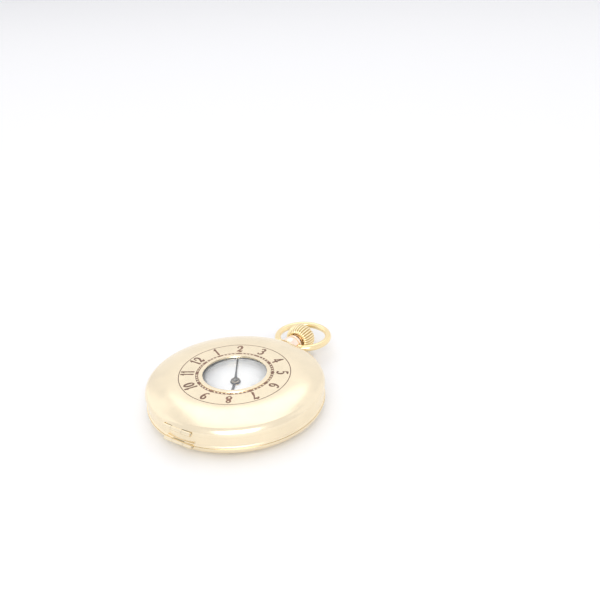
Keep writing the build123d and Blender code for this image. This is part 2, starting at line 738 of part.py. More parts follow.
with BuildPart() as case_band:
    with BuildSketch(Plane.XZ):
        with BuildLine():
            Polyline(
                (band_radius, band_bottom),
                (band_radius, band_bottom + band_bead),
                (waist_radius, band_bottom + band_bead + band_waist_depth),
                (waist_radius, band_top - band_bead - band_waist_depth),
                (band_radius, band_top - band_bead),
                (band_radius, band_top),
                (band_upper_bore, band_top),
                (band_upper_bore, ledge_front_level),
                (band_ledge_bore, ledge_front_level),
                (band_ledge_bore, ledge_back_level),
                (lip_inner, ledge_back_level),
                (lip_inner, lip_bottom),
                (lip_outer, lip_bottom),
                (lip_outer, band_bottom),
                close=True)
        make_face()
    revolve(axis=Axis.Z)
    # the pendant neck, with its flared foot cut to the curve of the covers
    with BuildSketch(Plane.XZ):
        with BuildLine():
            foot = Polyline(
                (neck_root, stem_level), (neck_root, stem_level + neck_foot_radius),
                (neck_foot_start, stem_level + neck_foot_radius))
            hollow = ThreePointArc(
                foot @ 1, (neck_foot_end, stem_level + neck_radius + neck_foot_hollow),
                (neck_foot_end + neck_swell_run, stem_level + neck_radius))
            swell = ThreePointArc(
                hollow @ 1, (bow_pivot_x, stem_level + neck_swell_radius),
                (neck_end - neck_swell_run, stem_level + neck_radius))
            Polyline(
                swell @ 1, (neck_end, stem_level + neck_radius),
                (neck_end, stem_level + neck_nozzle_radius),
                (neck_nozzle_end, stem_level + neck_nozzle_radius),
                (neck_nozzle_end, stem_level), (neck_root, stem_level))
        make_face()
    revolve(axis=Axis((0, 0, stem_level), (1, 0, 0)))
    drum(band_top, case_thickness, case_radius + neck_foot_gap, mode=Mode.SUBTRACT)
    drum(band_bottom - case_thickness, case_thickness - band_bottom + lip_bottom,
         case_radius + neck_foot_gap, mode=Mode.SUBTRACT)
    drum(lip_bottom, band_bottom - lip_bottom, case_radius + neck_foot_gap, mode=Mode.SUBTRACT,
         inner=lip_outer)
    rod_x(neck_bore, band_ledge_bore - cut_margin, neck_nozzle_end, Mode.SUBTRACT)
    rod_y(bow_pivot_x, stem_level, bow_pin_radius, -neck_foot_radius, neck_foot_radius, Mode.SUBTRACT)
    # knuckles of the two cover hinges and of the cuvette
    for level in (upper_seam, lower_seam):
        for side in (-1, 1):
            start, end = sorted((side * middle_knuckle_half, side * hinge_half_width))
            rod_y(-hinge_reach, level, knuckle_radius, start, end)
        rod_y(-hinge_reach, level, knuckle_radius + knuckle_clearance,
              -middle_knuckle_half, middle_knuckle_half, Mode.SUBTRACT)
        rod_y(-hinge_reach, level, hinge_pin_radius, -hinge_half_width, hinge_half_width, Mode.SUBTRACT)
    for side in (-1, 1):
        start, end = sorted((side * cuvette_middle_half, side * cuvette_hinge_half_width))
        rod_y(-cuvette_hinge_reach, cuvette_hinge_level, cuvette_knuckle_radius, start, end)
    slab(lip_bottom - cut_margin,
         cuvette_hinge_level - lip_bottom + cut_margin + cuvette_knuckle_radius + knuckle_clearance,
         (-lip_outer - cuvette_knuckle_radius, cuvette_lug_depth - lip_inner),
         (-cuvette_middle_half, cuvette_middle_half))
    rod_y(-cuvette_hinge_reach, cuvette_hinge_level, cuvette_pin_radius,
          -cuvette_hinge_half_width, cuvette_hinge_half_width, Mode.SUBTRACT)
    # grooves for the lock spring and the fly spring
    lock_turn = lock_head_half_angle + groove_margin_angle
    sector(spring_groove_floor, case_thickness, *spring_groove,
           0, lock_spring_end_angle + groove_margin_angle, Mode.SUBTRACT)
    sector(spring_groove_floor, case_thickness, spring_groove[0], lock_pocket_radius,
           -lock_turn, lock_turn, Mode.SUBTRACT)
    sector(spring_groove_floor, case_thickness, *spring_groove,
           fly_spring_angles[0] - groove_margin_angle, fly_spring_angles[1], Mode.SUBTRACT)
    sector(spring_groove_floor, case_thickness, spring_groove[0], fly_head_radius + spring_pocket_room,
           fly_spring_angles[1] - groove_margin_angle / 2,
           fly_head_end_angle + groove_margin_angle / 2, Mode.SUBTRACT)
save(case_band.part, "case_band")

with BuildPart() as lock_spring:
    sector(spring_bottom, spring_top - spring_bottom, *spring_leaf, 0, lock_spring_end_angle)
    sector(spring_bottom, spring_top - spring_bottom, spring_leaf[0], lock_nib[1],
           -lock_head_half_angle, lock_head_half_angle)
    sector(spring_top, lock_nib_top - spring_top, *lock_nib, -lock_nib_half_angle, lock_nib_half_angle)
save(lock_spring.part, "lock_spring")

with BuildPart() as fly_spring:
    sector(spring_bottom, spring_top - spring_bottom, *spring_leaf, *fly_spring_angles)
    sector(spring_bottom, spring_top - spring_bottom, spring_leaf[0], fly_head_radius,
           fly_spring_angles[1], fly_head_end_angle)
save(fly_spring.part, "fly_spring")

with BuildPart() as case_screws:
    places = [polar(case_screw_place_radius, angle) for angle in case_screw_angles]
    add(slotted_screws(places, screw_head_level, screw_head_radius, winding_screw_head, screw_radius,
                       case_screw_length))
save(case_screws.part, "case_screws")

with BuildPart() as inner_bezel:
    with BuildSketch(Plane.XZ):
        with BuildLine():
            Polyline(
                (bezel_spigot[0], bezel_spigot_foot), (bezel_spigot[1], bezel_spigot_foot),
                (bezel_spigot[1], band_top), (bezel_outer_radius, band_top),
                (bezel_outer_radius, bezel_shoulder_level), (bezel_top_radius, bezel_top_level),
                (crystal_seat_radius, bezel_top_level), (crystal_seat_radius, crystal_seat_level),
                (crystal_lip_radius, crystal_seat_level),
                (crystal_lip_radius, crystal_seat_level - cover_wall),
                (bezel_spigot[0], band_top + cover_wall / 2), close=True)
        make_face()
    revolve(axis=Axis.Z)
save(inner_bezel.part, "inner_bezel")

with BuildPart() as dial_crystal:
    dome_radius = (crystal_radius**2 + crystal_rise**2) / (2 * crystal_rise)
    dome_turn = -degrees(asin(crystal_radius / dome_radius))
    top_level = crystal_seat_level + crystal_wall + crystal_rise
    with BuildSketch(Plane.XZ):
        with BuildLine():
            outer_arc = JernArc((0, top_level), (1, 0), dome_radius, dome_turn)
            inner_arc = JernArc((0, top_level - crystal_wall), (1, 0), dome_radius, dome_turn)
            Line(outer_arc @ 1, inner_arc @ 1)
            Line(outer_arc @ 0, inner_arc @ 0)
        make_face()
    revolve(axis=Axis.Z)
save(dial_crystal.part, "dial_crystal")

# Crown and bow

with BuildPart() as crown:
    with BuildSketch(Plane.XZ) as crown_half:
        with BuildLine():
            Polyline(
                (crown_start, stem_level), (crown_start, stem_level + crown_radius),
                (crown_start + crown_length, stem_level + crown_radius),
                (crown_start + crown_length, stem_level), close=True)
        make_face()
        fillet(crown_half.vertices().group_by(Axis.Y)[-1], crown_edge)
    revolve(axis=Axis((0, 0, stem_level), (1, 0, 0)))
    with BuildSketch(Plane.YZ.offset(crown_start)):
        with Locations((0, stem_level)):
            with PolarLocations(crown_radius + flute_sink, crown_flutes):
                Circle(flute_radius)
    extrude(amount=crown_length, mode=Mode.SUBTRACT)
    rod_x(crown_socket_radius, crown_start, crown_start + crown_socket_depth, Mode.SUBTRACT)
    rod_x(stem_shaft_radius, crown_start, crown_start + crown_length - crown_end_wall,
          Mode.SUBTRACT)
save(crown.part, "crown")

bow_plane = Plane(
    origin=(bow_pivot_x, 0, stem_level),
    x_dir=(cos(radians(bow_drop)), 0, -sin(radians(bow_drop))),
    z_dir=(sin(radians(bow_drop)), 0, cos(radians(bow_drop))))
bow_reach = sqrt(bow_mid_radius**2 - bow_eye_offset**2)
bow_half_gap = degrees(asin(bow_eye_offset / bow_mid_radius))

with BuildPart() as bow:
    start_angle = bow_half_gap - 180
    with BuildLine(bow_plane) as bow_line:
        CenterArc((bow_reach, 0), bow_mid_radius, start_angle, 360 - 2 * bow_half_gap)
    with BuildSketch(Plane(origin=bow_line.line @ 0, z_dir=bow_line.line % 0)):
        Circle(bow_wire_radius)
    sweep()
    for side in (-1, 1):
        start, end = sorted(
            (side * (bow_eye_offset - bow_eye_half), side * (bow_eye_offset + bow_eye_half)))
        rod_y(bow_pivot_x, stem_level, bow_eye_radius, start, end)
        start, end = sorted((side * bow_pin_reach, side * bow_eye_offset))
        rod_y(bow_pivot_x, stem_level, bow_pin_radius, start, end)
save(bow.part, "bow")

# Mainplate and bridges

def pocket(floor, radius, place):
    """A round recess in the back of the plate, down to this floor."""
    drum(plate_back, floor - plate_back, radius, place, Mode.SUBTRACT)


def dial_recess(floor, radius, place):
    """A round recess in the dial side of the plate, down to this floor."""
    drum(floor, plate_front - floor, radius, place, Mode.SUBTRACT)


def tip_radius(module, teeth):
    return module * (teeth / 2 + tooth_addendum)


barrel_tip = tip_radius(barrel_module, barrel_teeth)
centre_tip = tip_radius(centre_module, centre_teeth)
third_tip = tip_radius(third_module, third_teeth)
fourth_tip = tip_radius(fourth_module, fourth_teeth)
balance_room = balance_radius + balance_screw_length + wheel_room
pallet_posts = [
    polar(pallet_post_offset, escape_line + side * 90, pallet_centre) for side in (-1, 1)]
clutch_groove_x = sum(clutch_span) / 2
yoke_tip = (clutch_groove_x, clutch_radius)
keyless_floor = keyless_level - shaft_gap
stem_hole = stem_sleeve_radius + level_gap

post_level = ratchet_level - winding_post_gap

with BuildPart() as mainplate:
    drum(plate_back, plate_front - plate_back, plate_radius)
    drum(ledge_front_level, plate_front - ledge_front_level, plate_flange_radius)
    pocket(barrel_floor, barrel_tip + wheel_room, barrel_centre)
    pocket(centre_wheel_floor, centre_tip + wheel_room, centre)
    pocket(third_wheel_level + wheel_wall + wheel_room, third_tip + wheel_room, third_centre)
    pocket(fourth_wheel_level + wheel_wall + wheel_room, fourth_tip + wheel_room, fourth_centre)
    pocket(train_floor, escape_radius + wheel_room, escape_centre)
    pocket(train_floor, balance_room, balance_centre)
    pocket(train_floor, centre_pinion_teeth * barrel_module, centre)
    dial_recess(motion_floor, hour_module * (hour_teeth / 2 + 1) + wheel_room, centre)
    dial_recess(motion_floor, tip_radius(cannon_module, minute_teeth) + wheel_room, minute_centre)
    dial_recess(motion_floor, tip_radius(cannon_module, setting_teeth) + wheel_room, setting_centre)
    pocket(third_wheel_level + wheel_wall + wheel_room, tip_radius(third_module, fourth_pinion_teeth)
           + wheel_room, fourth_centre)
    # the post that the crown wheel turns on
    drum(plate_back, crown_wheel_sink, crown_drum_radius + crown_wheel_sink, crown_wheel_centre,
         Mode.SUBTRACT)
    drum(post_level, plate_back + crown_post_root - post_level, crown_post_radius, crown_wheel_centre)
    drum(post_level, winding_screw_shank, screw_radius, crown_wheel_centre, Mode.SUBTRACT)
    # room for the winding work along the stem
    slab(plate_back, plate_front - plate_back,
         (clutch_span[0] - clutch_room_gap, winding_pinion_x - winding_pinion_half), clutch_room_y)
    slab(plate_back, plate_front - plate_back,
         (winding_pinion_x - winding_pinion_half - pinion_end_gaps[0],
          winding_pinion_x + winding_pinion_half + pinion_end_gaps[1]),
         (-pinion_room_half, pinion_room_half))
    rod_x(stem_groove_radius + stem_run, stem_tip_x - stem_tip_gap, clutch_span[0], Mode.SUBTRACT)
    rod_x(stem_bearing_radius + stem_run, winding_pinion_x, stem_socket_start - stem_bearing_end_gap,
          Mode.SUBTRACT)
    rod_x(stem_hole, stem_socket_start - stem_bearing_end_gap - level_gap, plate_flange_radius,
          Mode.SUBTRACT)
    # recess of the setting lever and the yoke on the dial side
    slab(keyless_floor, plate_front - keyless_floor, keyless_room_x, keyless_room_y)
    slab(lever_slot_floor, plate_front - lever_slot_floor, lever_slot_x, lever_slot_y)
    # holes for pivots, jewels, the barrel arbor, screws and dial feet
    for place in (third_centre, escape_centre, pallet_centre, balance_centre):
        drum(train_floor - cut_margin, 2 * cut_margin, jewel_radius, place, Mode.SUBTRACT)
    drum(plate_back, case_thickness, jewel_radius, fourth_centre, Mode.SUBTRACT)
    drum(plate_back, case_thickness, arbor_radius + level_gap, centre, Mode.SUBTRACT)
    drum(barrel_floor, arbor_foot_height + shaft_gap, arbor_foot_radius + shaft_gap / 2, barrel_centre,
         Mode.SUBTRACT)
    for place in train_feet + barrel_bridge_feet + [balance_foot]:
        drum(plate_back, bridge_screw_length, screw_hole_radius, place, Mode.SUBTRACT)
    for place in pallet_posts:
        drum(train_floor, pallet_screw_hole[1], pallet_screw_hole[0], place, Mode.SUBTRACT)
    for angle in case_screw_angles:
        drum(plate_back, case_screw_hole_depth, bridge_screw_radius,
             polar(case_screw_place_radius, angle), Mode.SUBTRACT)
    for place in dial_feet:
        drum(plate_front - dial_foot_hole_depth, dial_foot_hole_depth, dial_foot_radius + running_gap,
             place, Mode.SUBTRACT)
    # the studs of the motion work
    drum(motion_floor, stud_height, minute_stud_radius, minute_centre)
    drum(motion_floor, stud_height, setting_stud_radius, setting_centre)
save(mainplate.part, "mainplate")

hairspring_direction = direction(balance_centre, balance_foot)
hairspring_end = hairspring_inner + hairspring_turns * hairspring_pitch
hairspring_stud = polar(
    hairspring_end + hairspring_wall / 2 + hairspring_stud_radius, hairspring_direction, balance_centre)
ratchet_tip = tip_radius(winding_module, ratchet_teeth)
click_pivot = polar(ratchet_tip + click_pivot_gap, click_direction, barrel_centre)

bridge_gap_line = [
    mm(-20.0, 14.55), mm(2.21, 2.79), mm(20.0, -17.5), mm(30.0, -17.5), mm(30.0, 30.0), mm(-20.0, 30.0)]
bridge_radius = plate_radius - mm(1.4)
bridge_wheel_gap = mm(0.12)

with BuildPart() as barrel_bridge:
    with BuildSketch(Plane.XY.offset(bridge_back)):
        Circle(bridge_radius)
        with BuildSketch(mode=Mode.PRIVATE) as side:
            with BuildLine():
                Polyline(*bridge_gap_line, close=True)
            make_face()
        add(side.sketch, mode=Mode.INTERSECT)
        with Locations(crown_wheel_centre):
            Circle(crown_drum_radius + bridge_wheel_gap, mode=Mode.SUBTRACT)
        with Locations(barrel_centre):
            Circle(arbor_shaft_radius + shaft_gap, mode=Mode.SUBTRACT)
        with Locations(*barrel_bridge_feet):
            Circle(screw_hole_radius, mode=Mode.SUBTRACT)
    extrude(amount=bridge_wall)
    for place in barrel_bridge_feet:
        drum(bridge_back, winding_screw_head, screw_sink_radius, place, Mode.SUBTRACT)
    drum(ratchet_level, bridge_back - ratchet_level, click_stud_radius, click_pivot)
save(barrel_bridge.part, "barrel_bridge")

train_discs = [
    (centre, mm(3.2)), (train_feet[0], mm(2.6)), (train_feet[1], mm(2.4)), (train_feet[2], mm(2.6)),
    (fourth_centre, mm(2.5)), (escape_centre, mm(2.0)), (third_centre, mm(2.5))]
balance_bridge_room = balance_room + level_gap

with BuildPart() as train_bridge:
    hull_plate(bridge_back, bridge_wall, train_discs)
    drum(bridge_back, bridge_wall, balance_bridge_room, balance_centre, Mode.SUBTRACT)
    for place in train_pivots:
        drum(bridge_back, bridge_wall, jewel_radius, place, Mode.SUBTRACT)
    for place in train_feet:
        drum(bridge_back, bridge_wall, screw_hole_radius, place, Mode.SUBTRACT)
        drum(bridge_back, winding_screw_head, screw_sink_radius, place, Mode.SUBTRACT)
save(train_bridge.part, "train_bridge")

with BuildPart() as balance_cock:
    hull_plate(bridge_back, bridge_wall,
               [(balance_centre, mm(1.9)), (balance_foot, mm(2.5)), (balance_foot_heel, mm(1.6))])
    drum(bridge_back, bridge_wall, jewel_radius, balance_centre, Mode.SUBTRACT)
    drum(bridge_back, bridge_wall, screw_hole_radius, balance_foot, Mode.SUBTRACT)
    drum(bridge_back, winding_screw_head, screw_sink_radius, balance_foot, Mode.SUBTRACT)
    drum(bridge_back - regulator_boss, regulator_boss, regulator_boss_radius, balance_centre,
         inner=jewel_radius)
    drum(plate_back, hairspring_level + hairspring_height - plate_back, hairspring_stud_radius,
         hairspring_stud)
save(balance_cock.part, "balance_cock")

with BuildPart() as pallet_cock:
    hull_plate(pallet_cock_level, pallet_cock_wall, [(place, pallet_cock_half) for place in pallet_posts])
    for place in pallet_posts:
        drum(pallet_cock_level, train_floor - pallet_cock_level, pallet_post_radius, place)
        drum(pallet_cock_level, train_floor - pallet_cock_level, pallet_screw_hole[0], place,
             Mode.SUBTRACT)
    drum(pallet_cock_level, pallet_cock_wall, pivot_hole, pallet_centre, Mode.SUBTRACT)
save(pallet_cock.part, "pallet_cock")

with BuildPart() as bridge_screws:
    feet = train_feet + barrel_bridge_feet + [balance_foot]
    add(slotted_screws(feet, bridge_back, screw_head_radius, winding_screw_head, bridge_screw_radius,
                       bridge_screw_length))
save(bridge_screws.part, "bridge_screws")

with BuildPart() as pallet_cock_screws:
    for place in pallet_posts:
        drum(pallet_cock_level - pallet_screw_head[1], pallet_screw_head[1], pallet_screw_head[0], place)
        drum(pallet_cock_level, pallet_screw[1], pallet_screw[0], place)
save(pallet_cock_screws.part, "pallet_cock_screws")

with BuildPart() as jewels:
    for place in train_pivots + [balance_centre]:
        drum(bridge_back, jewel_wall, jewel_radius, place, inner=pivot_hole)
    for place in (third_centre, escape_centre, pallet_centre, balance_centre):
        drum(train_floor + jewel_sink, jewel_wall, jewel_radius, place, inner=pivot_hole)
    drum(plate_front - 2 * jewel_wall, jewel_wall, jewel_radius, fourth_centre,
         inner=seconds_pivot_radius + running_gap)
save(jewels.part, "jewels")

# Barrel and mainspring

spring_room = barrel_drum_radius - barrel_drum_wall
core_bottom = barrel_tooth_level - core_end_gap
core_top = barrel_top + barrel_cover_wall + core_end_gap

with BuildPart() as mainspring_barrel:
    toothed(barrel_tooth_level, barrel_base_wall, barrel_teeth, barrel_module, 0, barrel_centre)
    drum(barrel_top, barrel_tooth_level - barrel_top, barrel_drum_radius, barrel_centre, inner=spring_room)
    drum(barrel_tooth_level, barrel_base_wall, arbor_foot_radius + arbor_hole_gap, barrel_centre,
         Mode.SUBTRACT)
save(mainspring_barrel.part, "mainspring_barrel")

with BuildPart() as barrel_cover:
    drum(barrel_top, barrel_cover_wall, spring_room, barrel_centre,
         inner=arbor_shaft_radius + arbor_hole_gap)
save(barrel_cover.part, "barrel_cover")

with BuildPart() as mainspring:
    coil_inner = arbor_core_radius + mainspring_wall
    coil_pitch = (
        spring_room - mainspring_outer_gap - mainspring_wall / 2 - coil_inner) / mainspring_turns
    spiral_band(mainspring_turns, coil_inner, coil_pitch, mainspring_wall, core_top,
                core_bottom - core_top, barrel_centre, 0)
save(mainspring.part, "mainspring")

with BuildPart() as barrel_arbor:
    drum(core_top, core_bottom - core_top, arbor_core_radius, barrel_centre)
    drum(ratchet_level + winding_wheel_wall, core_top - ratchet_level - winding_wheel_wall,
         arbor_shaft_radius, barrel_centre)
    drum(core_bottom, barrel_floor + arbor_foot_height - core_bottom, arbor_foot_radius, barrel_centre)
    with BuildSketch(Plane.XY.offset(ratchet_level)):
        with Locations(barrel_centre):
            Rectangle(arbor_square, arbor_square)
    extrude(amount=winding_wheel_wall)
    drum(ratchet_level, winding_screw_shank, screw_radius, barrel_centre, Mode.SUBTRACT)
save(barrel_arbor.part, "barrel_arbor")

# Going train

def train_arbor(place, back, front, front_pivot_end, front_pivot_radius=pivot_radius):
    """An arbor with a fine pivot at each end, added to the part in hand."""
    drum(back, front - back, arbor_radius, place)
    drum(bridge_back + pivot_back_gap, back - bridge_back - pivot_back_gap, pivot_radius, place)
    drum(front, front_pivot_end - front, front_pivot_radius, place)


arbor_back = bridge_back + jewel_wall + level_gap
arbor_front = train_floor - level_gap
pivot_end = train_floor + jewel_wall

with BuildPart() as centre_wheel:
    toothed(centre_wheel_level, wheel_wall, centre_teeth, centre_module, 0, centre)
    hub, rim, arm = centre_crossings
    cut_crossings(centre_wheel_level, wheel_wall, centre, wheel_arms, hub, centre_tip - rim, arm)
    drum(arbor_back, minute_hand_level - hand_seat_drop - arbor_back, arbor_radius, centre)
    drum(bridge_back + pivot_back_gap, arbor_back - bridge_back - pivot_back_gap, pivot_radius, centre)
    toothed(centre_leaves_level, centre_leaves_height, centre_pinion_teeth, barrel_module,
            meshed_phase(barrel_centre, barrel_teeth, 0, centre, centre_pinion_teeth), centre)
save(centre_wheel.part, "centre_wheel")

with BuildPart() as third_wheel:
    toothed(third_wheel_level, wheel_wall, third_teeth, third_module, 0, third_centre)
    hub, rim, arm = third_crossings
    cut_crossings(third_wheel_level, wheel_wall, third_centre, wheel_arms, hub, third_tip - rim, arm)
    train_arbor(third_centre, arbor_back, arbor_front, pivot_end)
    toothed(centre_wheel_level - pinion_lead, pinion_height, third_pinion_teeth, centre_module,
            meshed_phase(centre, centre_teeth, 0, third_centre, third_pinion_teeth), third_centre)
save(third_wheel.part, "third_wheel")

with BuildPart() as fourth_wheel:
    toothed(fourth_wheel_level, wheel_wall, fourth_teeth, fourth_module, 0, fourth_centre)
    hub, rim, arm = fourth_crossings
    cut_crossings(fourth_wheel_level, wheel_wall, fourth_centre, wheel_arms, hub, fourth_tip - rim, arm)
    train_arbor(fourth_centre, arbor_back, arbor_front, seconds_hand_level + hand_seat_drop,
                seconds_pivot_radius)
    toothed(third_wheel_level - pinion_lead, pinion_height, fourth_pinion_teeth, third_module,
            meshed_phase(third_centre, third_teeth, 0, fourth_centre, fourth_pinion_teeth), fourth_centre)
save(fourth_wheel.part, "fourth_wheel")

with BuildPart() as escape_wheel:
    corners = []
    for tooth in range(escape_teeth):
        middle = 360 / escape_teeth * tooth
        for radius, turn in (
                (escape_radius - escape_tooth_depth, 0), (escape_radius, 4), (escape_radius, 7),
                (escape_radius - escape_tooth_depth, 13)):
            corners.append(polar(radius, middle + turn, escape_centre))
    with BuildSketch(Plane.XY.offset(escape_wheel_level)):
        with BuildLine():
            Polyline(*corners, close=True)
        make_face()
    extrude(amount=wheel_wall)
    hub, rim, arm = escape_crossings
    cut_crossings(escape_wheel_level, wheel_wall, escape_centre, escape_arms, hub,
                  escape_radius - escape_tooth_depth - rim, arm)
    train_arbor(escape_centre, arbor_back, arbor_front, pivot_end)
    toothed(fourth_wheel_level - pinion_lead, escape_pinion_height, escape_pinion_teeth, fourth_module,
            meshed_phase(fourth_centre, fourth_teeth, 0, escape_centre, escape_pinion_teeth),
            escape_centre)
save(escape_wheel.part, "escape_wheel")

# Pallet fork, drawn with its own X axis along the line from the escape wheel to the balance
pallet_plane = Plane(
    origin=(*pallet_centre, pallet_level),
    x_dir=(cos(radians(escape_line)), sin(radians(escape_line)), 0), z_dir=(0, 0, 1))
balance_reach = span(pallet_centre, balance_centre)
fork_end = balance_reach - roller_pin_offset - roller_pin_radius - fork_pin_gap
fork_half = [
    mm(-0.55, 2.25), mm(0.25, 2.45), mm(0.45, 0.75), mm(1.2, 0.28), (fork_end - mm(0.5), mm(0.2)),
    (fork_end, mm(0.55)), (fork_end, mm(0.28))]

with BuildPart() as pallet_fork:
    with BuildSketch(pallet_plane) as fork_outline:
        with BuildLine():
            Polyline(
                *fork_half, (fork_end - fork_notch, 0), *[(x, -y) for x, y in reversed(fork_half)],
                (-fork_heel, 0), close=True)
        make_face()
    extrude(amount=pallet_wall)
    drum(arbor_front - pallet_arbor[1], pallet_arbor[1], pallet_arbor[0], pallet_centre)
    drum(pallet_cock_level + shaft_gap, pivot_end - pallet_cock_level - shaft_gap, pivot_radius,
         pallet_centre)
save(pallet_fork.part, "pallet_fork")

with BuildPart() as pallet_stones:
    for side in (-1, 1):
        stone_line = escape_line + side * stone_spread
        place = polar(escape_radius + stone_clearance + stone_length / 2, stone_line, escape_centre)
        with BuildSketch(Plane(
                origin=(*place, pallet_level - stone_wall),
                x_dir=(cos(radians(stone_line)), sin(radians(stone_line)), 0), z_dir=(0, 0, 1))):
            Rectangle(stone_length, stone_width)
        extrude(amount=stone_wall)
save(pallet_stones.part, "pallet_stones")

with BuildPart() as balance_wheel:
    drum(balance_level, balance_rim_wall, balance_radius, balance_centre,
         inner=balance_radius - balance_rim)
    drum(balance_level, wheel_wall, balance_hub_radius, balance_centre)
    with BuildSketch(Plane.XY.offset(balance_level)):
        with Locations(balance_centre):
            Rectangle(balance_radius * 2 - balance_rim, balance_arm_width)
    extrude(amount=wheel_wall)
    drum(balance_level, balance_rim_wall, arbor_radius, balance_centre, Mode.SUBTRACT)
    for screw in range(balance_screws):
        angle = 360 / balance_screws * (screw + 0.5)
        start = polar(balance_radius - balance_screw_root, angle, balance_centre)
        with BuildSketch(Plane(
                origin=(*start, balance_level + balance_rim_wall / 2),
                z_dir=(cos(radians(angle)), sin(radians(angle)), 0))):
            Circle(balance_screw_radius)
        extrude(amount=balance_screw_length + balance_screw_root)
save(balance_wheel.part, "balance_wheel")

with BuildPart() as balance_staff:
    train_arbor(balance_centre, arbor_back, arbor_front, pivot_end)
    drum(hairspring_level, hairspring_height, hairspring_inner - hairspring_wall / 2, balance_centre)
    drum(roller_level, roller_wall, roller_radius, balance_centre)
    pin_place = polar(roller_pin_offset, escape_line + 180, balance_centre)
    drum(roller_level, pallet_level + pallet_wall - roller_level, roller_pin_radius, pin_place)
save(balance_staff.part, "balance_staff")

with BuildPart() as hairspring:
    spiral_band(hairspring_turns, hairspring_inner, hairspring_pitch, hairspring_wall,
                hairspring_level, hairspring_height, balance_centre, hairspring_direction)
save(hairspring.part, "hairspring")

with BuildPart() as regulator:
    arm_end = polar(regulator_arm, hairspring_direction, balance_centre)
    regulator_level = bridge_back - regulator_gap
    hull_plate(regulator_level, regulator_wall,
               [(balance_centre, regulator_arm_radii[0]), (arm_end, regulator_arm_radii[1])])
    drum(regulator_level, regulator_wall, regulator_ring_radius, balance_centre)
    drum(regulator_level, regulator_wall, regulator_boss_radius + arbor_hole_gap, balance_centre,
         Mode.SUBTRACT)
save(regulator.part, "regulator")

# Winding and setting work

with BuildPart() as crown_wheel:
    toothed(ratchet_level, winding_wheel_wall, crown_wheel_teeth, winding_module, 0, crown_wheel_centre)
    drum(ratchet_level, crown_drum_top - ratchet_level, crown_drum_radius, crown_wheel_centre)
    with BuildSketch(Plane.XY.offset(crown_drum_top)):
        with Locations(crown_wheel_centre):
            with PolarLocations(crown_drum_radius - crown_face_inset, crown_wheel_teeth):
                Rectangle(*crown_face_tooth)
    extrude(amount=crown_face_height)
    drum(ratchet_level, crown_drum_top - ratchet_level, crown_post_radius + shaft_gap,
         crown_wheel_centre, Mode.SUBTRACT)
save(crown_wheel.part, "crown_wheel")

with BuildPart() as ratchet_wheel:
    toothed(ratchet_level, winding_wheel_wall, ratchet_teeth, winding_module,
            meshed_phase(crown_wheel_centre, crown_wheel_teeth, 0, barrel_centre, ratchet_teeth),
            barrel_centre)
    with BuildSketch(Plane.XY.offset(ratchet_level)):
        with Locations(barrel_centre):
            Rectangle(arbor_square, arbor_square)
    extrude(amount=winding_wheel_wall, mode=Mode.SUBTRACT)
save(ratchet_wheel.part, "ratchet_wheel")

for name, place, seat in (
        ("crown_wheel_screw", crown_wheel_centre, post_level),
        ("ratchet_screw", barrel_centre, ratchet_level)):
    screw = slotted_screws([place], seat - winding_screw_head, winding_screw_radius,
                           winding_screw_head, screw_radius, winding_screw_shank)
    save(screw, name)

with BuildPart() as click:
    click_level = ratchet_level + click_lift_gap
    beak = polar(ratchet_tip + click_beak_gap, click_direction - click_beak_turn, barrel_centre)
    hull_plate(click_level, click_wall, [(click_pivot, click_radii[0]), (beak, click_radii[1])])
    drum(click_level, click_wall, click_stud_radius + running_gap, click_pivot, Mode.SUBTRACT)
save(click.part, "click")

with BuildPart() as click_spring:
    spring_foot, spring_tip = [
        polar(ratchet_tip + reach, click_direction - turn, barrel_centre)
        for reach, turn in zip(click_spring_reach, click_spring_turns)]
    foot_radius, foot_height = click_spring_foot
    drum(bridge_back - foot_height, foot_height, foot_radius, spring_foot)
    hull_plate(bridge_back - foot_height, click_spring_wall,
               [(spring_foot, click_spring_leaf[0]), (spring_tip, click_spring_leaf[1])])
save(click_spring.part, "click_spring")

with BuildPart() as winding_pinion:
    pinion_module = winding_pinion_radius / (winding_pinion_teeth / 2 + tooth_addendum)
    with BuildSketch(Plane.YZ.offset(winding_pinion_x - winding_pinion_half)):
        with BuildLine():
            corners = tooth_points(winding_pinion_teeth, pinion_module, 0)
            Polyline(*[(y, stem_level + z) for y, z in corners], close=True)
        make_face()
        with Locations((0, stem_level)):
            Circle(stem_bearing_radius + stem_run / 2, mode=Mode.SUBTRACT)
    extrude(amount=2 * winding_pinion_half)
save(winding_pinion.part, "winding_pinion")

with BuildPart() as clutch:
    rod_x(clutch_radius, *clutch_span)
    rod_x(clutch_radius, clutch_groove_x - clutch_groove_half, clutch_groove_x + clutch_groove_half,
          Mode.SUBTRACT)
    rod_x(clutch_groove_radius, *clutch_span)
    square_x(stem_square + 2 * stem_run, *clutch_span, Mode.SUBTRACT)
save(clutch.part, "clutch")

sleeve_end = stem_socket_start + stem_socket_neck + stem_socket_depth
pendant_collar = (sleeve_end + pendant_collar_gap, sleeve_end + pendant_collar_gap + pendant_collar_wall)

with BuildPart() as winding_stem:
    square_start, square_end = clutch_span[0] - stem_square_lead, clutch_span[1] + shaft_gap
    rod_x(stem_groove_radius - stem_run, stem_tip_x, square_start + level_gap)
    square_x(stem_square, square_start, square_end)
    rod_x(stem_bearing_radius, square_end, stem_groove_x - stem_groove_half)
    rod_x(stem_groove_radius, stem_groove_x - stem_groove_half, stem_groove_x + stem_groove_half)
    rod_x(stem_bearing_radius, stem_groove_x + stem_groove_half, stem_socket_start)
    rod_x(stem_sleeve_radius, stem_socket_start, sleeve_end)
    square_x(pendant_square + pendant_square_gap, sleeve_end - stem_socket_depth, sleeve_end,
             Mode.SUBTRACT)
save(winding_stem.part, "winding_stem")

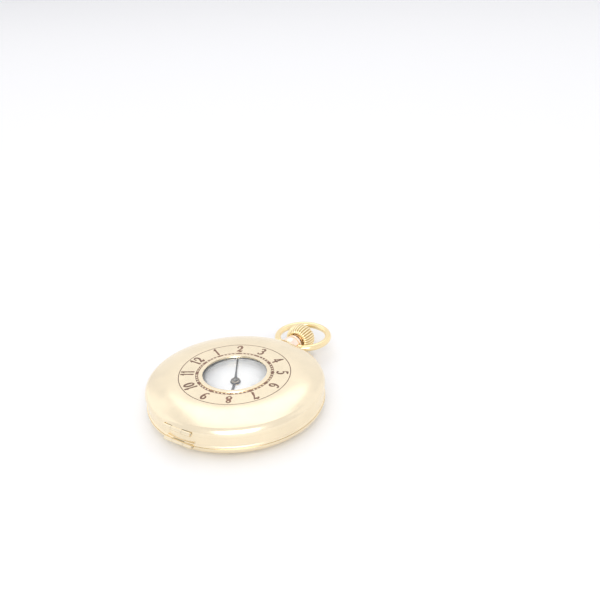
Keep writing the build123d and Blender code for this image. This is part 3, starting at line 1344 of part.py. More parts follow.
with BuildPart() as pendant_stem:
    square_x(pendant_square, sleeve_end - stem_socket_depth + pendant_rest_depth, pendant_collar[0])
    rod_x(stem_shaft_radius, pendant_collar[0], crown_start + crown_length - crown_end_wall)
    rod_x(stem_sleeve_radius - shaft_gap, *pendant_collar)
save(pendant_stem.part, "pendant_stem")

with BuildPart() as setting_lever:
    nib = (stem_groove_x, 0)
    pin_level = stem_level + stem_groove_radius + stem_run
    hull_plate(keyless_level, keyless_wall, [(lever_pivot, lever_end_radii[0]), (nib, lever_end_radii[1])])
    drum(pin_level, keyless_level - pin_level, keyless_pin_radius, nib)
save(setting_lever.part, "setting_lever")

with BuildPart() as yoke:
    key_rise, key_half = yoke_key
    hull_plate(keyless_level, keyless_wall,
               [(yoke_pivot, yoke_end_radii[0]), (yoke_tip, yoke_end_radii[1])])
    drum(stem_level - key_rise, keyless_level - stem_level + key_rise, keyless_pin_radius, yoke_tip)
    slab(stem_level - key_rise, 2 * key_rise, (yoke_tip[0] - key_half, yoke_tip[0] + key_half),
         (clutch_groove_radius + stem_run, yoke_tip[1]), Mode.ADD)
save(yoke.part, "yoke")

motion_level = motion_floor + shaft_gap
minute_phase = meshed_phase(centre, cannon_teeth, 0, minute_centre, minute_teeth)

with BuildPart() as setting_wheel:
    toothed(motion_level, wheel_wall, setting_teeth, cannon_module,
            meshed_phase(minute_centre, minute_teeth, minute_phase, setting_centre, setting_teeth),
            setting_centre)
    drum(motion_level, wheel_wall, setting_stud_radius + running_gap, setting_centre, Mode.SUBTRACT)
save(setting_wheel.part, "setting_wheel")

with BuildPart() as minute_wheel:
    toothed(motion_level, wheel_wall, minute_teeth, cannon_module, minute_phase, minute_centre)
    toothed(motion_level + wheel_wall, stud_height - shaft_gap - wheel_wall, minute_pinion_teeth,
            hour_module, 0, minute_centre)
    drum(motion_level, stud_height, minute_stud_radius + running_gap, minute_centre, Mode.SUBTRACT)
save(minute_wheel.part, "minute_wheel")

hour_wheel_level = motion_level + wheel_wall + hour_wheel_gap

with BuildPart() as cannon_pinion:
    toothed(motion_level, wheel_wall + shaft_gap, cannon_teeth, cannon_module, 0, centre)
    drum(motion_level, minute_hand_level - motion_level, cannon_radius, centre)
    drum(minute_hand_level, hand_wall + hand_seat_stand, hand_seat_radius, centre)
    drum(motion_level, minute_hand_level - cannon_end_wall - motion_level, arbor_radius + cannon_run,
         centre, Mode.SUBTRACT)
save(cannon_pinion.part, "cannon_pinion")

with BuildPart() as hour_wheel:
    toothed(hour_wheel_level, wheel_wall, hour_teeth, hour_module,
            meshed_phase(minute_centre, minute_pinion_teeth, 0, centre, hour_teeth), centre)
    drum(hour_wheel_level, hour_hand_level + hand_wall - hour_wheel_level, hour_pipe[1], centre)
    drum(hour_wheel_level, hour_hand_level + hand_wall - hour_wheel_level, hour_pipe[0], centre,
         Mode.SUBTRACT)
save(hour_wheel.part, "hour_wheel")

# Dial and hands

with BuildPart() as dial:
    drum(plate_front, dial_wall, dial_radius)
    drum(dial_front - seconds_dial_depth, seconds_dial_depth, seconds_dial_radius, fourth_centre,
         Mode.SUBTRACT)
    drum(plate_front, dial_wall, hour_pipe[1] + dial_pipe_gap, centre, Mode.SUBTRACT)
    drum(plate_front, dial_wall, seconds_pipe_hole, fourth_centre, Mode.SUBTRACT)
    for place in dial_feet:
        drum(plate_front - dial_foot_length, dial_foot_length, dial_foot_radius, place)
save(dial.part, "dial")


def hand(level, place, clock, length, blade, boss, bore):
    """A hand that points the given degrees clockwise from 12; blade lists its half outline."""
    heading = radians(90 - clock)
    plane = Plane(origin=(*place, level), x_dir=(cos(heading), sin(heading), 0), z_dir=(0, 0, 1))
    outline = [(along * length, half) for along, half in blade]
    mirrored = [(x, -y) for x, y in reversed(outline) if y]
    with BuildPart() as piece:
        with BuildSketch(plane) as shape:
            with BuildLine():
                Polyline(*outline, *mirrored, close=True)
            make_face()
            Circle(boss)
            Circle(bore, mode=Mode.SUBTRACT)
        extrude(shape.sketch, amount=hand_wall)
    return piece.part


# Blades: each point is (share of the hand's length, half width)
hour_blade = [(0, mm(0.42)), (0.56, mm(0.3)), (0.72, mm(1.2)), (0.78, mm(1.15)), (1, 0)]
minute_blade = [(0, mm(0.4)), (0.3, mm(0.21)), (0.8, mm(0.24)), (1, 0)]
seconds_blade = [(-0.3, mm(0.14)), (1, mm(0.06))]
hour_boss, minute_boss, seconds_boss = mm(1.45, 1.0, 0.35)
save(hand(hour_hand_level, centre, hour_hand_clock, hour_hand_length, hour_blade, hour_boss,
          hour_pipe[1]), "hour_hand")
save(hand(minute_hand_level, centre, minute_hand_clock, minute_hand_length, minute_blade, minute_boss,
          hand_seat_radius), "minute_hand")
save(hand(seconds_hand_level, fourth_centre, seconds_hand_clock, seconds_hand_length, seconds_blade,
          seconds_boss, seconds_pivot_radius), "seconds_hand")
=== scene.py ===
from math import cos, hypot, pi, radians, sin, sqrt

import bmesh
import bpy
from mathutils import Matrix, Vector


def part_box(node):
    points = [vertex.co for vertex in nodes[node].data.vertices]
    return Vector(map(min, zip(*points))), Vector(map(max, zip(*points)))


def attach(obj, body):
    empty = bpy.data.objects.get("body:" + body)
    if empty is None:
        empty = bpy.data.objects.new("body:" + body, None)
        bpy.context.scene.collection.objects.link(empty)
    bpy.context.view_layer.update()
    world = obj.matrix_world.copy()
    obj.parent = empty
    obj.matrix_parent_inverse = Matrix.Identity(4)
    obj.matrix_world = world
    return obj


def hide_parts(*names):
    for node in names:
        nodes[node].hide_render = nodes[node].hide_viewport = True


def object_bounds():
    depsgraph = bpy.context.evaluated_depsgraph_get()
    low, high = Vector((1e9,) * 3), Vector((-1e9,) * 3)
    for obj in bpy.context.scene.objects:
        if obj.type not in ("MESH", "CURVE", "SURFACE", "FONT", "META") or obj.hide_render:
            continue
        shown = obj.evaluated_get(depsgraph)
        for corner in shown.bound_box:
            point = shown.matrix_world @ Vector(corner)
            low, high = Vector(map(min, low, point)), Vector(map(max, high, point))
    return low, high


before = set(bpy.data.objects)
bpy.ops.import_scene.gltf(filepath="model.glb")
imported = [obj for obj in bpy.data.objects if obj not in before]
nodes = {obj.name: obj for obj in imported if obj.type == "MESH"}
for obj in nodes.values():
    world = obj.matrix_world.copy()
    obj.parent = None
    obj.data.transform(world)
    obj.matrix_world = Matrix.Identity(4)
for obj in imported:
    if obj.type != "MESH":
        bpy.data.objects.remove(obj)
cad_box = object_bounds()
MM = 0.001

# The dressed watch: materials for the solids of the case and the movement, and the pieces that are
# too fine for the solids, such as the enamelled numerals, the dial's printing and the jewel settings.


# Materials: noise scales are in repeats per metre, and reliefs are in metres

class Signal:
    """A value, colour or vector in a node tree, used in formulas as if it were a number."""

    def __init__(self, tree, socket):
        self.tree, self.socket = tree, socket

    def node(self, kind, settings=None, inputs=None, output=0):
        """Any node: its settings are made first, then the values or links of its inputs."""
        made = self.tree.nodes.new(kind)
        for name, value in (settings or {}).items():
            setattr(made, name, value)
        for name, value in (inputs or {}).items():
            if isinstance(value, Signal):
                self.tree.links.new(value.socket, made.inputs[name])
            else:
                made.inputs[name].default_value = value
        return Signal(self.tree, made.outputs[output])

    def maths(self, operation, *inputs):
        return self.node("ShaderNodeMath", {"operation": operation}, dict(enumerate(inputs)))

    def __add__(self, other):
        return self.maths("ADD", self, other)

    __radd__ = __add__

    def __mul__(self, other):
        return self.maths("MULTIPLY", self, other)

    __rmul__ = __mul__

    def __sub__(self, other):
        return self.maths("SUBTRACT", self, other)

    def __rsub__(self, other):
        return self.maths("SUBTRACT", other, self)

    def __truediv__(self, other):
        return self.maths("DIVIDE", self, other)

    def __rtruediv__(self, other):
        return self.maths("DIVIDE", other, self)

    def __pow__(self, other):
        return self.maths("POWER", self, other)

    def __rpow__(self, other):
        return self.maths("POWER", other, self)


def rgb(*colour):
    return (*colour, 1.0)


def shade(tone, share):
    """The tone made darker or paler by this share."""
    return rgb(*(min(1.0, part * share) for part in tone))


def mix(factor, first, second):
    return factor.node("ShaderNodeMix", {"data_type": "RGBA"}, {0: factor, 6: first, 7: second}, 2)


def noise(place, scale, detail):
    return place.node("ShaderNodeTexNoise", None, {"Vector": place, "Scale": scale, "Detail": detail})


def vectors(operation, *inputs, output=0):
    """Vector maths; output 1 is the plain number that a length or a dot product gives."""
    return inputs[0].node(
        "ShaderNodeVectorMath", {"operation": operation}, dict(enumerate(inputs)), output)


def stretched(place, x, y, z):
    """The place with its three directions scaled, for grain that runs along one of them."""
    return vectors("MULTIPLY", place, (x, y, z))


def coordinate(place, axis):
    """One coordinate of the place: 0 along x, 1 along y, 2 upwards."""
    return place.node("ShaderNodeSeparateXYZ", None, {0: place}, axis)


def radius_at(place):
    """Distance from the upright axis through the middle of the watch."""
    return vectors("LENGTH", stretched(place, 1, 1, 0), output=1)


def bump(height, strength, relief):
    return height.node(
        "ShaderNodeBump", None, {"Height": height, "Strength": strength, "Distance": relief})


def finish(name, recipe, **shader_values):
    """A material whose colour, roughness and relief the recipe works out from the place."""
    material = bpy.data.materials.new(name)
    material.use_nodes = True
    tree = material.node_tree
    tree.nodes.clear()
    place = Signal(tree, tree.nodes.new("ShaderNodeTexCoord").outputs["Object"])
    shader = place.node("ShaderNodeBsdfPrincipled", None, {**shader_values, **recipe(place)})
    output = tree.nodes.new("ShaderNodeOutputMaterial")
    tree.links.new(shader.socket, output.inputs["Surface"])
    return material


# The pendant's neck is soldered to the band at this distance along x
neck_start = 25.6 * MM


def polished_gold(tone, roughness, turned=0.0, neck_tone=None):
    """Polished gold with faint hairlines; turned adds the rings that the lathe leaves. The neck
    can have its own tone."""
    def recipe(place):
        cloud = noise(place, 160.0, 3.0)
        wear = noise(place, 900.0, 4.0)
        hairlines = noise(stretched(place, 9000.0, 700.0, 700.0), 1.0, 2.0)
        rings = noise(stretched(radius_at(place), 26000.0, 0.0, 0.0), 1.0, 1.0)
        relief = hairlines * (1 - turned) + rings * turned
        colour = mix(cloud, shade(tone, 0.9), shade(tone, 1.06))
        if neck_tone:
            on_neck = place.maths("GREATER_THAN", coordinate(place, 0), neck_start)
            colour = mix(on_neck, colour, rgb(*neck_tone))
        return {
            "Base Color": colour,
            "Roughness": wear * 0.12 + relief * 0.05 + (roughness - 0.08),
            "Normal": bump(relief + wear * 0.5, 0.10, 0.000004)}
    return recipe


def grooved_gold(tone, groove_shade_tone, roughness, axis_level, grooves):
    """Polished gold with painted shade: its grooves, round an axis along x at this level, are painted
    a darker tone.
    """
    plain = polished_gold(tone, roughness)

    def recipe(place):
        inputs = plain(place)
        turn = place.maths("ARCTAN2", coordinate(place, 2) - axis_level, coordinate(place, 1))
        wave = turn.maths("COSINE", turn * (grooves / 2))
        ridge = wave.maths("ABSOLUTE", wave)
        # Painted shade: the colour darkens towards the bottom of each groove
        inputs["Base Color"] = mix(ridge ** 0.8, rgb(*groove_shade_tone), inputs["Base Color"])
        return inputs
    return recipe


def ground_steel(tone, roughness):
    """Steel with fine straight grain."""
    def recipe(place):
        grain = noise(stretched(place, 8000.0, 500.0, 500.0), 1.0, 3.0)
        blotch = noise(place, 350.0, 3.0)
        return {
            "Base Color": mix(blotch * 0.5 + grain * 0.5, shade(tone, 0.78), rgb(*tone)),
            "Roughness": grain * 0.2 + blotch * 0.08 + (roughness - 0.12),
            "Normal": bump(grain, 0.18, 0.000006)}
    return recipe


# The stripes ground on the bridges: their width, and their slant to the y axis in radians
stripe_width, stripe_slant = 1.6 * MM, 0.55


def striped_nickel(tone):
    """Nickelled brass with the broad soft stripes that are ground on bridges."""
    across_stripes = (cos(stripe_slant) / stripe_width, sin(stripe_slant) / stripe_width, 0.0)

    def recipe(place):
        run = vectors("DOT_PRODUCT", place, across_stripes, output=1)
        ramp = run.maths("FRACT", run)
        grain = noise(stretched(place, 6000.0, 6000.0, 900.0), 1.0, 2.0)
        return {
            "Base Color": mix(ramp * 0.7 + grain * 0.3, shade(tone, 0.72), rgb(*tone)),
            "Roughness": ramp * 0.16 + grain * 0.08 + 0.2,
            "Normal": bump(ramp * 0.6 + grain * 0.4, 0.22, 0.00001)}
    return recipe


# The spots ground on the mainplate: their distance, and the fine rings in each
spot_size, rings_per_spot = 1.1 * MM, 26.0


def spotted_nickel(tone):
    """Nickelled brass with overlapping ground spots, as on the hidden faces of a mainplate."""
    def recipe(place):
        cell = place.node(
            "ShaderNodeTexVoronoi", None,
            {"Vector": place, "Scale": 1 / spot_size, "Randomness": 0.25})
        ring = cell.maths("SINE", cell * rings_per_spot)
        grain = noise(place, 2500.0, 2.0)
        return {
            "Base Color": mix(cell * 0.8 + grain * 0.3, rgb(*tone), shade(tone, 0.75)),
            "Roughness": ring * 0.05 + grain * 0.1 + 0.24,
            "Normal": bump(ring * 0.3 + grain * 0.5, 0.2, 0.000008)}
    return recipe


def gilt(tone):
    """Gilded brass of the wheels, with a soft grained surface."""
    def recipe(place):
        grain = noise(place, 4200.0, 3.0)
        blotch = noise(place, 300.0, 2.0)
        return {
            "Base Color": mix(blotch * 0.6 + grain * 0.4, shade(tone, 0.76), rgb(*tone)),
            "Roughness": grain * 0.18 + 0.2,
            "Normal": bump(grain, 0.15, 0.000006)}
    return recipe


def enamel(tone, roughness, mottle):
    """Fired enamel: even and glassy, with faint mottling."""
    def recipe(place):
        cloud = noise(place, 420.0, 4.0)
        pits = noise(place, 3600.0, 2.0)
        return {
            "Base Color": mix(cloud, shade(tone, 1 - mottle), rgb(*tone)),
            "Roughness": cloud * 0.06 + pits * 0.05 + roughness,
            "Normal": bump(pits + cloud, 0.05, 0.000004)}
    return recipe


# Share of light that the glass mirrors when looked at straight on, and its share of dust
glass_mirror, glass_dust = 0.043, 0.02


def clear_glass():
    """Thin polished glass: clear when looked through, a mirror at a slant, with a trace of dust."""
    def recipe(place):
        slant = place.node("ShaderNodeLayerWeight", None, {"Blend": 0.5}, 1)
        mirror = slant ** 5.0 * (1 - glass_mirror) + glass_mirror
        dust = noise(place, 1500.0, 4.0)
        return {
            "Base Color": mix(dust, rgb(0.90, 0.93, 0.94), rgb(0.98, 0.99, 1.0)),
            "Roughness": dust * 0.05 + 0.01,
            "Alpha": mirror + dust * glass_dust}
    return recipe


# Finishes of the watch; the ribs of the crown stand round the winding stem's axis

crown_ribs = 32
crown_low, crown_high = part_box("crown")
stem_axis_level = (crown_high.z + crown_low.z) / 2

case_tone, rosy_tone = (0.92, 0.80, 0.585), (1.0, 0.80, 0.66)
gold_case = finish("gold_case", polished_gold(case_tone, 0.22, 0.5), Metallic=1.0)
gold_band = finish("gold_band", polished_gold(case_tone, 0.22, 0.5, rosy_tone), Metallic=1.0)
gold_inside = finish("gold_inside", polished_gold((0.92, 0.76, 0.52), 0.16), Metallic=1.0)
# The crown's second, darker tone is painted shade in its grooves
gold_crown = finish(
    "gold_crown",
    grooved_gold((1.0, 0.84, 0.54), (0.55, 0.36, 0.14), 0.16, stem_axis_level, crown_ribs),
    Metallic=1.0)
gold_bow = finish("gold_bow", polished_gold((0.97, 0.78, 0.46), 0.16), Metallic=1.0)
dark_enamel = finish(
    "dark_enamel", enamel((0.21, 0.115, 0.075), 0.34, 0.3), **{"Specular IOR Level": 0.3})
white_enamel = finish(
    "white_enamel", enamel((0.95, 0.95, 0.94), 0.16, 0.03), **{"Coat Weight": 0.3})
window_glass = finish("window_glass", clear_glass(), Metallic=1.0)
dial_ink = finish("dial_ink", enamel((0.015, 0.015, 0.02), 0.35, 0.4))
steel = finish("steel", ground_steel((0.62, 0.62, 0.63), 0.28), Metallic=1.0)
blued_steel = finish("blued_steel", ground_steel((0.06, 0.11, 0.36), 0.22), Metallic=1.0)
hand_steel = finish("hand_steel", ground_steel((0.05, 0.05, 0.075), 0.22), Metallic=1.0)
bridge_nickel = finish("bridge_nickel", striped_nickel((0.76, 0.74, 0.69)), Metallic=1.0)
plate_nickel = finish("plate_nickel", spotted_nickel((0.76, 0.73, 0.67)), Metallic=1.0)
gilt_brass = finish("gilt_brass", gilt((0.84, 0.64, 0.30)), Metallic=1.0)
ruby = finish(
    "ruby", enamel((0.48, 0.02, 0.09), 0.04, 0.3), **{"Coat Weight": 0.8, "Specular IOR Level": 0.8})

node_finishes = {
    gold_case: ["front_lid", "back_cover", "lid_glass_ring"],
    gold_band: ["case_band"],
    gold_inside: ["cuvette", "inner_bezel"],
    gold_bow: ["bow", "crown"],
    dark_enamel: ["lid_enamel"],
    white_enamel: ["dial"],
    window_glass: ["lid_window_glass", "dial_crystal"],
    blued_steel: [
        "case_screws", "bridge_screws", "pallet_cock_screws", "crown_wheel_screw", "ratchet_screw",
        "hairspring"],
    hand_steel: ["hour_hand", "minute_hand", "seconds_hand"],
    bridge_nickel: ["barrel_bridge", "train_bridge", "balance_cock", "pallet_cock"],
    plate_nickel: ["mainplate"],
    gilt_brass: [
        "mainspring_barrel", "barrel_cover", "centre_wheel", "third_wheel", "fourth_wheel",
        "balance_wheel", "hour_wheel", "minute_wheel"],
    ruby: ["jewels", "pallet_stones"],
    steel: [
        "lid_hinge_pin", "back_hinge_pin", "cuvette_hinge_pin", "fly_spring", "lock_spring",
        "click_spring", "click", "winding_pinion", "winding_stem", "pendant_stem", "clutch",
        "crown_wheel", "ratchet_wheel", "barrel_arbor", "setting_lever", "yoke", "mainspring",
        "escape_wheel", "pallet_fork", "balance_staff", "regulator", "cannon_pinion",
        "setting_wheel"],
}
for material, names in node_finishes.items():
    for name in names:
        nodes[name].data.materials.clear()
        nodes[name].data.materials.append(material)


# Numerals, drawn as strokes in a box 1 high; each point is (across, up, half width)

digit_strokes = {
    "0": [[(0.50, 0.96, 0.05), (0.78, 0.72, 0.13), (0.80, 0.30, 0.13), (0.50, 0.04, 0.05),
           (0.20, 0.28, 0.13), (0.22, 0.72, 0.13), (0.50, 0.96, 0.05)]],
    "1": [[(0.48, 1.0, 0.13), (0.50, 0.5, 0.10), (0.50, 0.0, 0.13)],
          [(0.48, 0.97, 0.06), (0.30, 0.86, 0.04), (0.20, 0.80, 0.03)]],
    "2": [[(0.16, 0.70, 0.10), (0.24, 0.92, 0.06), (0.50, 0.98, 0.07), (0.78, 0.80, 0.13),
           (0.70, 0.52, 0.11), (0.40, 0.28, 0.06), (0.12, 0.06, 0.05)],
          [(0.12, 0.08, 0.05), (0.38, 0.14, 0.11), (0.66, 0.05, 0.12), (0.90, 0.18, 0.04)]],
    "3": [[(0.16, 0.86, 0.07), (0.46, 0.98, 0.06), (0.74, 0.80, 0.12), (0.62, 0.60, 0.08),
           (0.40, 0.54, 0.04)],
          [(0.40, 0.54, 0.04), (0.72, 0.46, 0.08), (0.82, 0.22, 0.14), (0.50, 0.02, 0.06),
           (0.16, 0.12, 0.08)]],
    "4": [[(0.62, 1.0, 0.05), (0.34, 0.62, 0.06), (0.06, 0.30, 0.05)],
          [(0.06, 0.30, 0.05), (0.50, 0.30, 0.06), (0.96, 0.32, 0.05)],
          [(0.66, 0.98, 0.10), (0.66, 0.50, 0.13), (0.68, 0.0, 0.12)]],
    "5": [[(0.26, 0.95, 0.07), (0.55, 0.95, 0.08), (0.86, 0.99, 0.04)],
          [(0.26, 0.96, 0.05), (0.22, 0.74, 0.06), (0.20, 0.54, 0.05)],
          [(0.20, 0.55, 0.04), (0.52, 0.62, 0.06), (0.80, 0.36, 0.14), (0.56, 0.04, 0.07),
           (0.16, 0.10, 0.08)]],
    "6": [[(0.76, 0.92, 0.06), (0.46, 0.92, 0.06), (0.22, 0.62, 0.12), (0.22, 0.28, 0.13),
           (0.50, 0.03, 0.06), (0.80, 0.26, 0.12), (0.56, 0.54, 0.05), (0.28, 0.42, 0.04)]],
    "7": [[(0.10, 0.86, 0.07), (0.36, 0.97, 0.10), (0.62, 0.90, 0.08), (0.90, 0.98, 0.04)],
          [(0.88, 0.96, 0.04), (0.58, 0.52, 0.09), (0.44, 0.0, 0.14)]],
    "8": [[(0.50, 0.54, 0.10), (0.22, 0.74, 0.09), (0.50, 0.98, 0.05), (0.78, 0.76, 0.08),
           (0.50, 0.54, 0.10)],
          [(0.50, 0.54, 0.10), (0.82, 0.28, 0.11), (0.50, 0.02, 0.05), (0.18, 0.26, 0.10),
           (0.50, 0.54, 0.10)]],
    "9": [[(0.24, 0.08, 0.06), (0.54, 0.08, 0.06), (0.78, 0.38, 0.12), (0.78, 0.72, 0.13),
           (0.50, 0.97, 0.06), (0.20, 0.74, 0.12), (0.44, 0.46, 0.05), (0.72, 0.58, 0.04)]],
}
# Share by which all strokes are heavier than drawn, and the rise of a stroke's middle over its
# edges as a share of its depth
stroke_weight, stroke_dome = 1.32, 0.3
samples_per_span, cap_steps = 6, 4
# Half width left at a cap's tip, and the length under which two points count as one
least_half_width, no_length = 0.002, 1e-6

# Widths of the digits' places, as shares of the height
digit_width, one_width = 0.62, 0.42


def rounded_cap(end, inner):
    """Points that go on past a stroke's end and narrow as a half circle; inner lies before it."""
    away = (end[0] - inner[0], end[1] - inner[1])
    cap = []
    for step in range(1, cap_steps + 1):
        share = step / cap_steps
        reach = end[2] * share / max(hypot(*away), no_length)
        cap.append((
            end[0] + away[0] * reach, end[1] + away[1] * reach,
            max(end[2] * sqrt(1 - share**2), least_half_width)))
    return cap


def smooth_points(points):
    """The stroke's points joined by a smooth curve, with widths, and a rounded cap on each end."""
    line = [points[0], *points, points[-1]]
    curve = []
    for before, start, end, after in zip(line, line[1:], line[2:], line[3:]):
        for step in range(samples_per_span):
            t = step / samples_per_span
            curve.append(tuple(
                0.5 * (2 * b + (c - a) * t + (2 * a - 5 * b + 4 * c - d) * t**2
                       + (3 * b - a - 3 * c + d) * t**3)
                for a, b, c, d in zip(before, start, end, after)))
    curve.append(points[-1])
    if points[0] == points[-1]:
        return curve
    return rounded_cap(curve[0], curve[1])[::-1] + curve + rounded_cap(curve[-1], curve[-2])


def add_band(mesh, rows, closed):
    """Faces between rows of corners, the last row joined to the first where the band is closed."""
    following_rows = rows[1:] + rows[:1] if closed else rows[1:]
    for here, there in zip(rows, following_rows):
        for corner in range(len(here)):
            following = (corner + 1) % len(here)
            mesh.faces.new((here[corner], here[following], there[following], there[corner]))


def add_stroke(mesh, points, placed, low, high):
    """One stroke as a closed thin solid; placed turns its drawing place into a place on the dial.
    Its top rises a little to a ridge along the middle, as enamel does."""
    curve = smooth_points(points)
    ridge = high + (high - low) * stroke_dome
    looped = points[0] == points[-1]
    if looped:
        curve = curve[:-1]
    last = len(curve) - 1
    rows = []
    for index, (across, up, half) in enumerate(curve):
        before = curve[index - 1] if looped or index else curve[0]
        after = curve[(index + 1) % len(curve)] if looped or index < last else curve[-1]
        run = (after[0] - before[0], after[1] - before[1])
        length = max(hypot(*run), no_length)
        side = (-run[1] / length * half * stroke_weight, run[0] / length * half * stroke_weight)
        left = placed(across + side[0], up + side[1])
        right = placed(across - side[0], up - side[1])
        middle = placed(across, up)
        rows.append([mesh.verts.new(corner) for corner in (
            (*left, low), (*right, low), (*right, high), (*middle, ridge), (*left, high))])
    add_band(mesh, rows, closed=looped)
    if not looped:
        mesh.faces.new(rows[0])
        mesh.faces.new(rows[-1][::-1])


def add_number(mesh, text, centre_radius, clock_angle, height, low, high,
               origin=(0.0, 0.0), upright=False):
    """A number at this clock angle round the origin, its top outwards unless it stands upright."""
    widths = [one_width if digit == "1" else digit_width for digit in text]
    start = -sum(widths) / 2
    heading = radians(90 - clock_angle)
    middle = (origin[0] + centre_radius * cos(heading), origin[1] + centre_radius * sin(heading))
    up = (0.0, 1.0) if upright else (cos(heading), sin(heading))
    for digit, width in zip(text, widths):
        def placed(across, rise, start=start, width=width):
            u = (start + (across - 0.5) * digit_width + width / 2) * height
            v = (rise - 0.5) * height
            return (middle[0] + up[1] * u + up[0] * v, middle[1] - up[0] * u + up[1] * v)
        for stroke in digit_strokes[digit]:
            add_stroke(mesh, stroke, placed, low, high)
        start += width


def put(name, data):
    """A new object that stands in the scene with this mesh, lamp or camera."""
    made = bpy.data.objects.new(name, data)
    bpy.context.scene.collection.objects.link(made)
    return made


def new_piece(name, mesh, material, body):
    """An object from the finished mesh, riding on its body."""
    bmesh.ops.recalc_face_normals(mesh, faces=mesh.faces)
    data = bpy.data.meshes.new(name)
    mesh.to_mesh(data)
    mesh.free()
    piece = put(name, data)
    data.materials.append(material)
    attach(piece, body)
    return piece


lid_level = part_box("lid_enamel")[1].z
numeral_radius = 13.25 * MM
numeral_height = 3.1 * MM
enamel_stand = 0.012 * MM

lid_numerals = bmesh.new()
for hour in range(1, 13):
    add_number(lid_numerals, str(hour), numeral_radius, 30 * hour, numeral_height,
               lid_level - enamel_stand, lid_level + enamel_stand)
new_piece("lid_numerals", lid_numerals, dark_enamel, "lid")


def add_ring(mesh, inner, outer, low, high, centre=(0.0, 0.0), bevel=0.0, segments=96):
    """A flat ring with square or bevelled top edges, as a closed solid."""
    profile = [(inner, low), (outer, low), (outer, high - bevel)]
    if bevel:
        profile += [(outer - bevel, high), (inner + bevel, high)]
    profile.append((inner, high - bevel))
    rows = []
    for index in range(segments):
        turn = 2 * pi * index / segments
        rows.append([
            mesh.verts.new((centre[0] + radius * cos(turn), centre[1] + radius * sin(turn), level))
            for radius, level in profile])
    add_band(mesh, rows, closed=True)


# Marks that repeat round a circle

def marks_tree():
    """Blocks round a circle, each turned outwards. Every size is an input."""
    tree = bpy.data.node_groups.new("ring_of_marks", "GeometryNodeTree")
    tree.interface.new_socket("Geometry", in_out="OUTPUT", socket_type="NodeSocketGeometry")
    sockets = {
        "Count": "NodeSocketInt", "Radius": "NodeSocketFloat", "Length": "NodeSocketFloat",
        "Width": "NodeSocketFloat", "Level": "NodeSocketFloat", "Height": "NodeSocketFloat",
        "Skip": "NodeSocketInt", "Centre": "NodeSocketVector", "Finish": "NodeSocketMaterial"}
    for name, kind in sockets.items():
        tree.interface.new_socket(name, in_out="INPUT", socket_type=kind)
    given = tree.nodes.new("NodeGroupInput")
    value = {name: Signal(tree, given.outputs[name]) for name in sockets}
    count = value["Count"]

    def combined(x, y, z):
        return count.node("ShaderNodeCombineXYZ", None, {0: x, 1: y, 2: z})

    index = count.node("GeometryNodeInputIndex")
    turn = index * (2 * pi) / count
    on_circle = combined(
        turn.maths("COSINE", turn) * value["Radius"],
        turn.maths("SINE", turn) * value["Radius"], value["Level"])
    left_out = index.maths("LESS_THAN", index.maths("MODULO", index, value["Skip"]), 0.5)
    points = count.node("GeometryNodePoints", None, {"Count": count})
    points = points.node("GeometryNodeSetPosition", None, {
        "Geometry": points, "Position": vectors("ADD", on_circle, value["Centre"])})
    points = points.node("GeometryNodeDeleteGeometry", None, {
        "Geometry": points, "Selection": left_out})
    block = points.node("GeometryNodeMeshCube", None, {"Size": (1.0, 1.0, 1.0)})
    placed = block.node("GeometryNodeInstanceOnPoints", None, {
        "Points": points, "Instance": block, "Rotation": combined(0.0, 0.0, turn),
        "Scale": combined(value["Length"], value["Width"], value["Height"])})
    joined = placed.node("GeometryNodeRealizeInstances", None, {"Geometry": placed})
    finished = joined.node("GeometryNodeSetMaterial", None, {
        "Geometry": joined, "Material": value["Finish"]})
    output = tree.nodes.new("NodeGroupOutput")
    tree.links.new(finished.socket, output.inputs["Geometry"])
    return tree


ring_of_marks = marks_tree()

# A skip past the last mark of every ring, so that only the first mark, at 3 o'clock, is left out
first_only = 1000


def marks(name, body, material, count, inner, outer, width, level, height,
          skip=first_only, centre=(0.0, 0.0)):
    """A ring of marks made a plain mesh. Every skip-th mark is left out, from the first."""
    holder = put(name + "_holder", bpy.data.meshes.new(name + "_holder"))
    modifier = holder.modifiers.new("ring", "NODES")
    modifier.node_group = ring_of_marks
    sizes = {
        "Count": count, "Radius": (inner + outer) / 2, "Length": outer - inner, "Width": width,
        "Level": level, "Height": height, "Skip": skip, "Centre": (*centre, 0.0),
        "Finish": material}
    for item in ring_of_marks.interface.items_tree:
        if item.in_out == "INPUT":
            modifier[item.identifier] = sizes[item.name]
    graph = bpy.context.evaluated_depsgraph_get()
    data = bpy.data.meshes.new_from_object(holder.evaluated_get(graph))
    bpy.data.objects.remove(holder)
    piece = put(name, data)
    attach(piece, body)


# Minute track of the lid: gold blocks left standing in the dark ring, and dark squares at the hours
ring_middle, ring_half = 10.53 * MM, 0.39 * MM
block_half, block_width = 0.19 * MM, 0.55 * MM
square_half, square_width = ring_half + 0.06 * MM, 0.8 * MM
marks("lid_minute_track", "lid", gold_case, 60, ring_middle - block_half,
      ring_middle + block_half, block_width, lid_level, 2 * enamel_stand, skip=5)
marks("lid_hour_squares", "lid", dark_enamel, 12, ring_middle - square_half,
      ring_middle + square_half, square_width, lid_level, 2.4 * enamel_stand)


# Crown: a rounded knob whose ribs follow its curve, with the socket that covers the neck's end

crown_length = crown_high.x - crown_low.x
crown_radius = (crown_high.y - crown_low.y) / 2
foot_radius, crown_flat_radius = 2.5 * MM, 1.7 * MM
knob_length = 0.985 * crown_length
knob_fullness = 0.62
rib_depth, rib_sharpness, steps_per_rib = 0.45 * MM, 0.7, 8
crown_rows = 40
# Rows over which the ribs reach their full depth, from the foot and from the outer end
rib_rise_at_foot, rib_rise_at_end = crown_rows / 12, crown_rows / 6
socket_radius, socket_depth, mouth_bevel = 2.05 * MM, 1.5 * MM, 0.12 * MM
foot_bevel = 0.05 * MM
end_flat_radius = 0.75 * crown_flat_radius
bore_radius, bore_depth = 0.6 * MM, crown_length - 2.0 * MM


